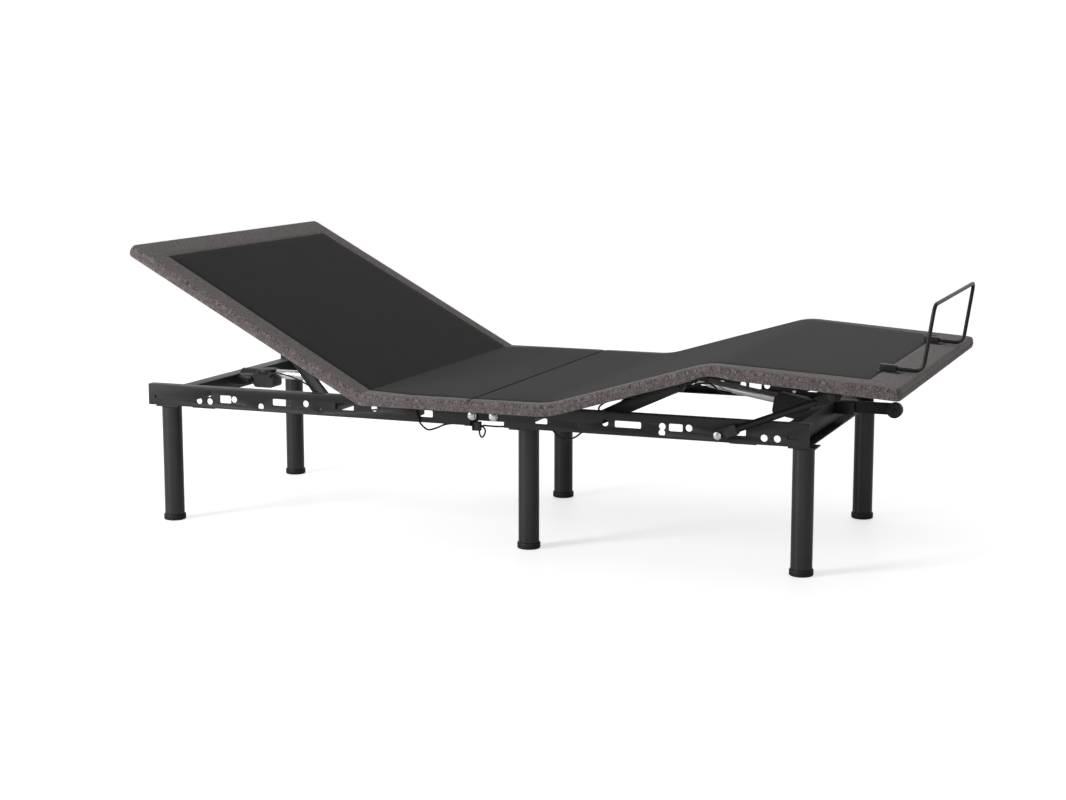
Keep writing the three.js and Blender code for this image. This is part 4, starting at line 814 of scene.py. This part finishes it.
def cover(name, path, s0, s1, round_start, round_end, corners, cloth, cloth_half,
          replaced):
    """A padded board cover from s0 to s1 along the deck line.

    corners gives rounded plan corners at the start and end. cloth is the stretch that carries the dark
    top cloth, cloth_half its half width at a station, and the rest is tweed.
    """
    seams = [s for s in cloth if s0 + 0.03 < s < s1 - 0.03]
    stations = station_list(path, s0, s1, round_start, round_end, seams)
    lateral = [("inner", -1 + 2 * i / INNER_LINES) for i in range(1, INNER_LINES)]
    for side in (-1, 1):
        for offset in SEAM_LINES:
            lateral.append(("seam", side, offset))
        for distance in EDGE_LINES + (CORNER_ROUND,):
            lateral.append(("edge", side, distance))

    def lateral_at(mark, s):
        half = cloth_half(s)
        if mark[0] == "inner":
            return mark[1] * (half - 0.008)
        if mark[0] == "seam":
            return mark[1] * (half + mark[2])
        return mark[1] * (DECK_HALF - mark[2])

    lateral.sort(key=lambda mark: lateral_at(mark, (s0 + s1) / 2))
    rng = random.Random(RIPPLE_SEED)
    waves = [(rng.uniform(3, 9), rng.uniform(3, 9), rng.uniform(0, 6.28), rng.uniform(0.5, 1.0))
             for _ in range(RIPPLE_WAVES)]

    def under_relief(s):
        """Keeps the knee's bend off the rails when the deck lies flat, by thinning the board there."""
        if path.relief_at is None:
            return 0.0
        away = abs(s - path.relief_at) / KNEE_RELIEF_REACH
        return UNDER_GAP + (KNEE_RELIEF * math.cos(away * math.pi / 2) ** 2 if away < 1 else 0.0)

    def plan_place(s, y):
        """Rounds the plan corners, and gives the distance to the nearest rounded edge."""
        to_start = s - s0 if round_start else 1.0
        to_end = s1 - s if round_end else 1.0
        to_side = DECK_HALF - abs(y)
        near_end, end_sign = (to_start, -1) if to_start < to_end else (to_end, 1)
        cornered = corners[0] if end_sign < 0 else corners[1]
        if cornered and near_end < CORNER_ROUND and to_side < CORNER_ROUND:
            a, b = 1 - near_end / CORNER_ROUND, 1 - to_side / CORNER_ROUND
            ring = max(a, b)
            if ring > 1e-9:
                turn = (math.pi / 4) * (b / a if a >= b else 2 - a / b)
                centre_s = s0 + CORNER_ROUND if end_sign < 0 else s1 - CORNER_ROUND
                centre_y = math.copysign(DECK_HALF - CORNER_ROUND, y)
                s = centre_s + end_sign * ring * CORNER_ROUND * math.cos(turn)
                y = centre_y + math.copysign(ring * CORNER_ROUND * math.sin(turn), y)
                return s, y, CORNER_ROUND * (1 - ring)
        return s, y, min(near_end, to_side)

    def edge_round(s, y):
        """The covers turn down more tightly where two of them meet than along the outside."""
        if DECK_HALF - abs(y) < 0.012:
            return EDGE_ROUND
        meeting_start = round_start and not corners[0] and s - s0 < 0.02
        meeting_end = round_end and not corners[1] and s1 - s < 0.02
        return MEETING_ROUND if meeting_start or meeting_end else EDGE_ROUND

    def top_height(s, y, distance):
        drop = superellipse_drop(distance, edge_round(s, y))
        half = cloth_half(s)
        to_seam = abs(abs(y) - half)
        for seam in seams:
            if abs(y) < half + 0.006:
                to_seam = min(to_seam, abs(s - seam))
        inside_cloth = cloth[0] <= s <= cloth[1] and abs(y) < half
        if not cloth[0] - 0.006 <= s <= cloth[1] + 0.006:
            to_seam = 1.0
        groove = SEAM_DEPTH * math.exp(-((to_seam / SEAM_HALF_WIDTH) ** 2))
        swell = CROWN * (1 - math.exp(-((distance / CROWN_REACH) ** 2)))
        ripple = sum(w * math.sin(a * s * 2 + b * y + c) for a, b, c, w in waves) * RIPPLE
        return -drop - groove + swell + ripple * min(1, distance / 0.03) - (0.0004 if inside_cloth else 0)

    bm = bmesh.new()
    uv_layer = bm.loops.layers.uv.new("cloth")
    flat_of = {}

    def vertex(s, y, height, uv):
        x, z, heading = path.at(min(max(s, 0), path.length))
        beyond = s - min(max(s, 0), path.length)
        point = Vector((
            x + beyond * math.cos(heading) - height * math.sin(heading), y,
            z + beyond * math.sin(heading) + height * math.cos(heading),
        ))
        made = bm.verts.new(point)
        flat_of[made] = uv
        return made

    top, bottom = [], []
    for s in stations:
        top_row, bottom_row = [], []
        for mark in lateral:
            ps, py, distance = plan_place(s, lateral_at(mark, s))
            height = top_height(ps, py, distance)
            top_row.append(vertex(ps, py, height, (ps, py)))
            under = -DECK_THICKNESS + under_relief(ps) + superellipse_drop(distance, UNDER_ROUND)
            bottom_row.append(vertex(ps, py, under, (ps, py + math.copysign(0.05, py))))
        top.append(top_row)
        bottom.append(bottom_row)

    rows, columns = len(stations), len(lateral)
    for i in range(rows - 1):
        for j in range(columns - 1):
            face = bm.faces.new((top[i][j], top[i + 1][j], top[i + 1][j + 1], top[i][j + 1]))
            middle_s = (stations[i] + stations[i + 1]) / 2
            middle_y = (lateral_at(lateral[j], middle_s) + lateral_at(lateral[j + 1], middle_s)) / 2
            dark = cloth[0] < middle_s < cloth[1] and abs(middle_y) < cloth_half(middle_s)
            face.material_index = 1 if dark else 0
            bm.faces.new((bottom[i][j + 1], bottom[i + 1][j + 1], bottom[i + 1][j], bottom[i][j]))

    ring = [(i, 0) for i in range(rows)] + [(rows - 1, j) for j in range(1, columns)]
    ring += [(i, columns - 1) for i in range(rows - 2, -1, -1)] + [(0, j) for j in range(columns - 2, 0, -1)]

    def outward(index):
        a, b = ring[index - 1], ring[(index + 1) % len(ring)]
        sa, sb = flat_of[top[a[0]][a[1]]], flat_of[top[b[0]][b[1]]]
        ds, dy = sb[0] - sa[0], sb[1] - sa[1]
        size = math.hypot(ds, dy) or 1.0
        return dy / size, -ds / size

    bands = []
    for k in range(1, SIDE_STEPS):
        share = k / SIDE_STEPS
        band = []
        for index, (i, j) in enumerate(ring):
            s, y = flat_of[top[i][j]]
            open_end = (i == 0 and not round_start) or (i == rows - 1 and not round_end)
            ns, ny = outward(index)
            square_cut = open_end and 0 < j < columns - 1
            bulge = 0.0 if square_cut else SIDE_BULGE * math.sin(math.pi * share)
            if open_end:
                ns = 0.0
            inset = 1.0 if square_cut else 0.0
            high = top_height(s, y, inset)
            low = -DECK_THICKNESS + under_relief(s) + superellipse_drop(inset, UNDER_ROUND)
            height = high + (low - high) * share
            band.append(vertex(s + ns * bulge, y + ny * bulge, height, (s - ns * height, y - ny * height)))
        bands.append(band)
    loops = [[top[i][j] for i, j in ring]] + bands + [[bottom[i][j] for i, j in ring]]
    for upper, lower in zip(loops, loops[1:]):
        for index in range(len(ring)):
            following = (index + 1) % len(ring)
            bm.faces.new((upper[index], lower[index], lower[following], upper[following]))

    def thread_line(places):
        """The places of a row of stitches, brought onto the cover's top."""
        line = []
        for s, y in places:
            height = top_height(s, y, min(s - s0 if round_start else 1, s1 - s if round_end else 1, 1))
            x, z, heading = path.at(s)
            line.append((x - height * math.sin(heading), y, z + height * math.cos(heading)))
        return line

    first = max(cloth[0] + STITCH_INSET, s0 + (STITCH_STOP if round_start else 0.0))
    last = min(cloth[1] - STITCH_INSET, s1 - (STITCH_STOP if round_end else 0.0))
    along = [first + (last - first) * i / SEAM_POINTS for i in range(SEAM_POINTS + 1)]
    stitch_lines = [thread_line([(s, side * (cloth_half(s) - STITCH_INSET)) for s in along])
                    for side in (-1, 1)]
    for seam in seams:
        s = seam + math.copysign(STITCH_INSET, (first + last) / 2 - seam)
        half = cloth_half(s) - STITCH_INSET
        across = [-half + 2 * half * i / CROSS_SEAM_POINTS for i in range(CROSS_SEAM_POINTS + 1)]
        stitch_lines.append(thread_line([(s, y) for y in across]))
    stitched(name.replace("cover", "stitches"), stitch_lines)

    for face in bm.faces:
        for loop in face.loops:
            loop[uv_layer].uv = flat_of[loop.vert]
    bmesh.ops.recalc_face_normals(bm, faces=bm.faces)
    mesh = finish_mesh(bm, name, 50.0)
    mesh.materials.append(TWEED)
    mesh.materials.append(TOP_CLOTH)
    piece = bpy.data.objects.new(name, mesh)
    SCENE.collection.objects.link(piece)
    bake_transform(piece)
    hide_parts(*replaced)


BEND_BACK = 0.007
BEND_SEAT = 0.20
BEND_KNEE = 0.17
END_WRAP = 0.0070
take_back = BEND_BACK * math.tan(BACK_ANGLE / 2)
take_seat = BEND_SEAT * math.tan(THIGH_ANGLE / 2)
take_knee = BEND_KNEE * math.tan((THIGH_ANGLE + FOOT_ANGLE) / 2)

# The board's far lower corner reaches past its upper one by its thickness, seen along the tilt.
back_run = (BACK_HINGE.x - back_low.x) / math.cos(BACK_ANGLE) - DECK_THICKNESS * math.tan(BACK_ANGLE)
back_run += END_WRAP
head_path = DeckPath(
    BACK_HINGE.x - back_run * math.cos(BACK_ANGLE), DECK_TOP + back_run * math.sin(BACK_ANGLE), -BACK_ANGLE,
    [("line", back_run - take_back, 0), ("arc", BEND_BACK, BACK_ANGLE),
     ("line", seat_high.x - BACK_HINGE.x - take_back, 0)],
)
seat_foot_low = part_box("seat_panel_foot")[0]
knee_top = KNEE + 0.004 * Vector((-math.sin(THIGH_ANGLE), 0, math.cos(THIGH_ANGLE)))
thigh_run = (knee_top - Vector((THIGH_HINGE.x, 0, DECK_TOP))).length
foot_run = (foot_high.x - knee_top.x) / math.cos(FOOT_ANGLE)
foot_path = DeckPath(
    seat_foot_low.x, DECK_TOP, 0.0,
    [("line", THIGH_HINGE.x - seat_foot_low.x - take_seat, 0), ("arc", BEND_SEAT, THIGH_ANGLE),
     ("line", thigh_run - take_seat - take_knee, 0), ("arc", BEND_KNEE, -THIGH_ANGLE - FOOT_ANGLE),
     ("line", foot_run - take_knee, 0)], relieved=3,
)
HEAD_BORDER = 0.0715
FOOT_BORDER = 0.084


def head_cloth_half(s):
    hinge = head_path.pieces[1][0]
    if s < hinge:
        return 0.421 + 0.016 * s / hinge
    return 0.437 + 0.027 * min(1.0, (s - hinge) / 0.12)


def foot_cloth_half(s):
    knee = foot_path.pieces[3][0]
    if s < knee:
        return 0.464 - 0.008 * s / knee
    return 0.456 - 0.036 * min(1.0, (s - knee) / (foot_path.length - FOOT_BORDER - knee))


def beside(point, dx):
    return tuple(point + Vector((dx, 0, 0)))


cover(
    "head_cover", head_path, 0.0, head_path.length, True, True, (True, False),
    (HEAD_BORDER, head_path.length + 1), head_cloth_half,
    ("back_panel", "seat_panel_head"),
)
thigh_middle = foot_path.pieces[2][0] + foot_path.pieces[2][1] / 2
cover(
    "seat_cover", foot_path, 0.0, thigh_middle, True, False, (False, False),
    (-1, thigh_middle + 1), foot_cloth_half,
    ("seat_panel_foot", "thigh_panel"),
)
cover(
    "foot_cover", foot_path, thigh_middle, foot_path.length, False, True, (False, True),
    (-1, foot_path.length - FOOT_BORDER), foot_cloth_half,
    ("foot_panel",),
)

# The lift pads are the panel's own, with the board above them cut away, since the cover stands for it.
PAD_CUT_GAP = 0.0001
board_up = Vector((math.sin(BACK_ANGLE), 0, math.cos(BACK_ANGLE)))
pads = merged_copy("back_panel")
bmesh.ops.bisect_plane(
    pads, geom=pads.verts[:] + pads.edges[:] + pads.faces[:],
    plane_co=Vector((BACK_HINGE.x, 0, DECK_TOP)) - (DECK_THICKNESS + PAD_CUT_GAP) * board_up,
    plane_no=board_up, clear_outer=True)
bmesh.ops.holes_fill(pads, edges=[e for e in pads.edges if len(e.link_faces) == 1])
link_piece("lift_pads", finish_mesh(pads, "lift_pads"), MOULDED, "back", slot="black_plastic")

# ---- Small fittings ------------------------------------------------------------------------------------

head_rail_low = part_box("head_rail_near")[0]
foot_rail_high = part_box("foot_rail_near")[1]
RAIL_FACE = abs(head_rail_low.y)
RAIL_WALL = 0.0030
PLUG_SIZE = Vector((0.0290, 0.0022, 0.0130))
PLUG_BEHIND_WEB = 0.0013
PLUG_ROUND = 0.0009
SLOT_HEIGHT = head_rail_low.z + 0.023
HEAD_SLOT_FROM_END = 0.030
FOOT_SLOT_FROM_END = 0.039


def rail_plug(name, x, side, body):
    """A moulded plug that closes the end slot of a rail from behind its web."""
    place = Vector((x, side * (RAIL_FACE - RAIL_WALL - PLUG_BEHIND_WEB), SLOT_HEIGHT))
    bm = bmesh.new()
    bmesh.ops.create_cube(bm, size=1.0, matrix=Matrix.LocRotScale(place, None, PLUG_SIZE))
    bmesh.ops.bevel(bm, geom=bm.edges[:], offset=PLUG_ROUND, segments=2, affect="EDGES")
    link_piece(name, finish_mesh(bm, name, 60), MOULDED, body, slot="black_plastic")


for label, side in (("near", -1), ("far", 1)):
    rail_plug(f"head_slot_plug_{label}", head_rail_low.x + HEAD_SLOT_FROM_END, side, "head_frame")
    rail_plug(f"foot_slot_plug_{label}", foot_rail_high.x - FOOT_SLOT_FROM_END, side, "foot_frame")

for piece in LEADS.values():
    piece.data.materials.append(JACKET)
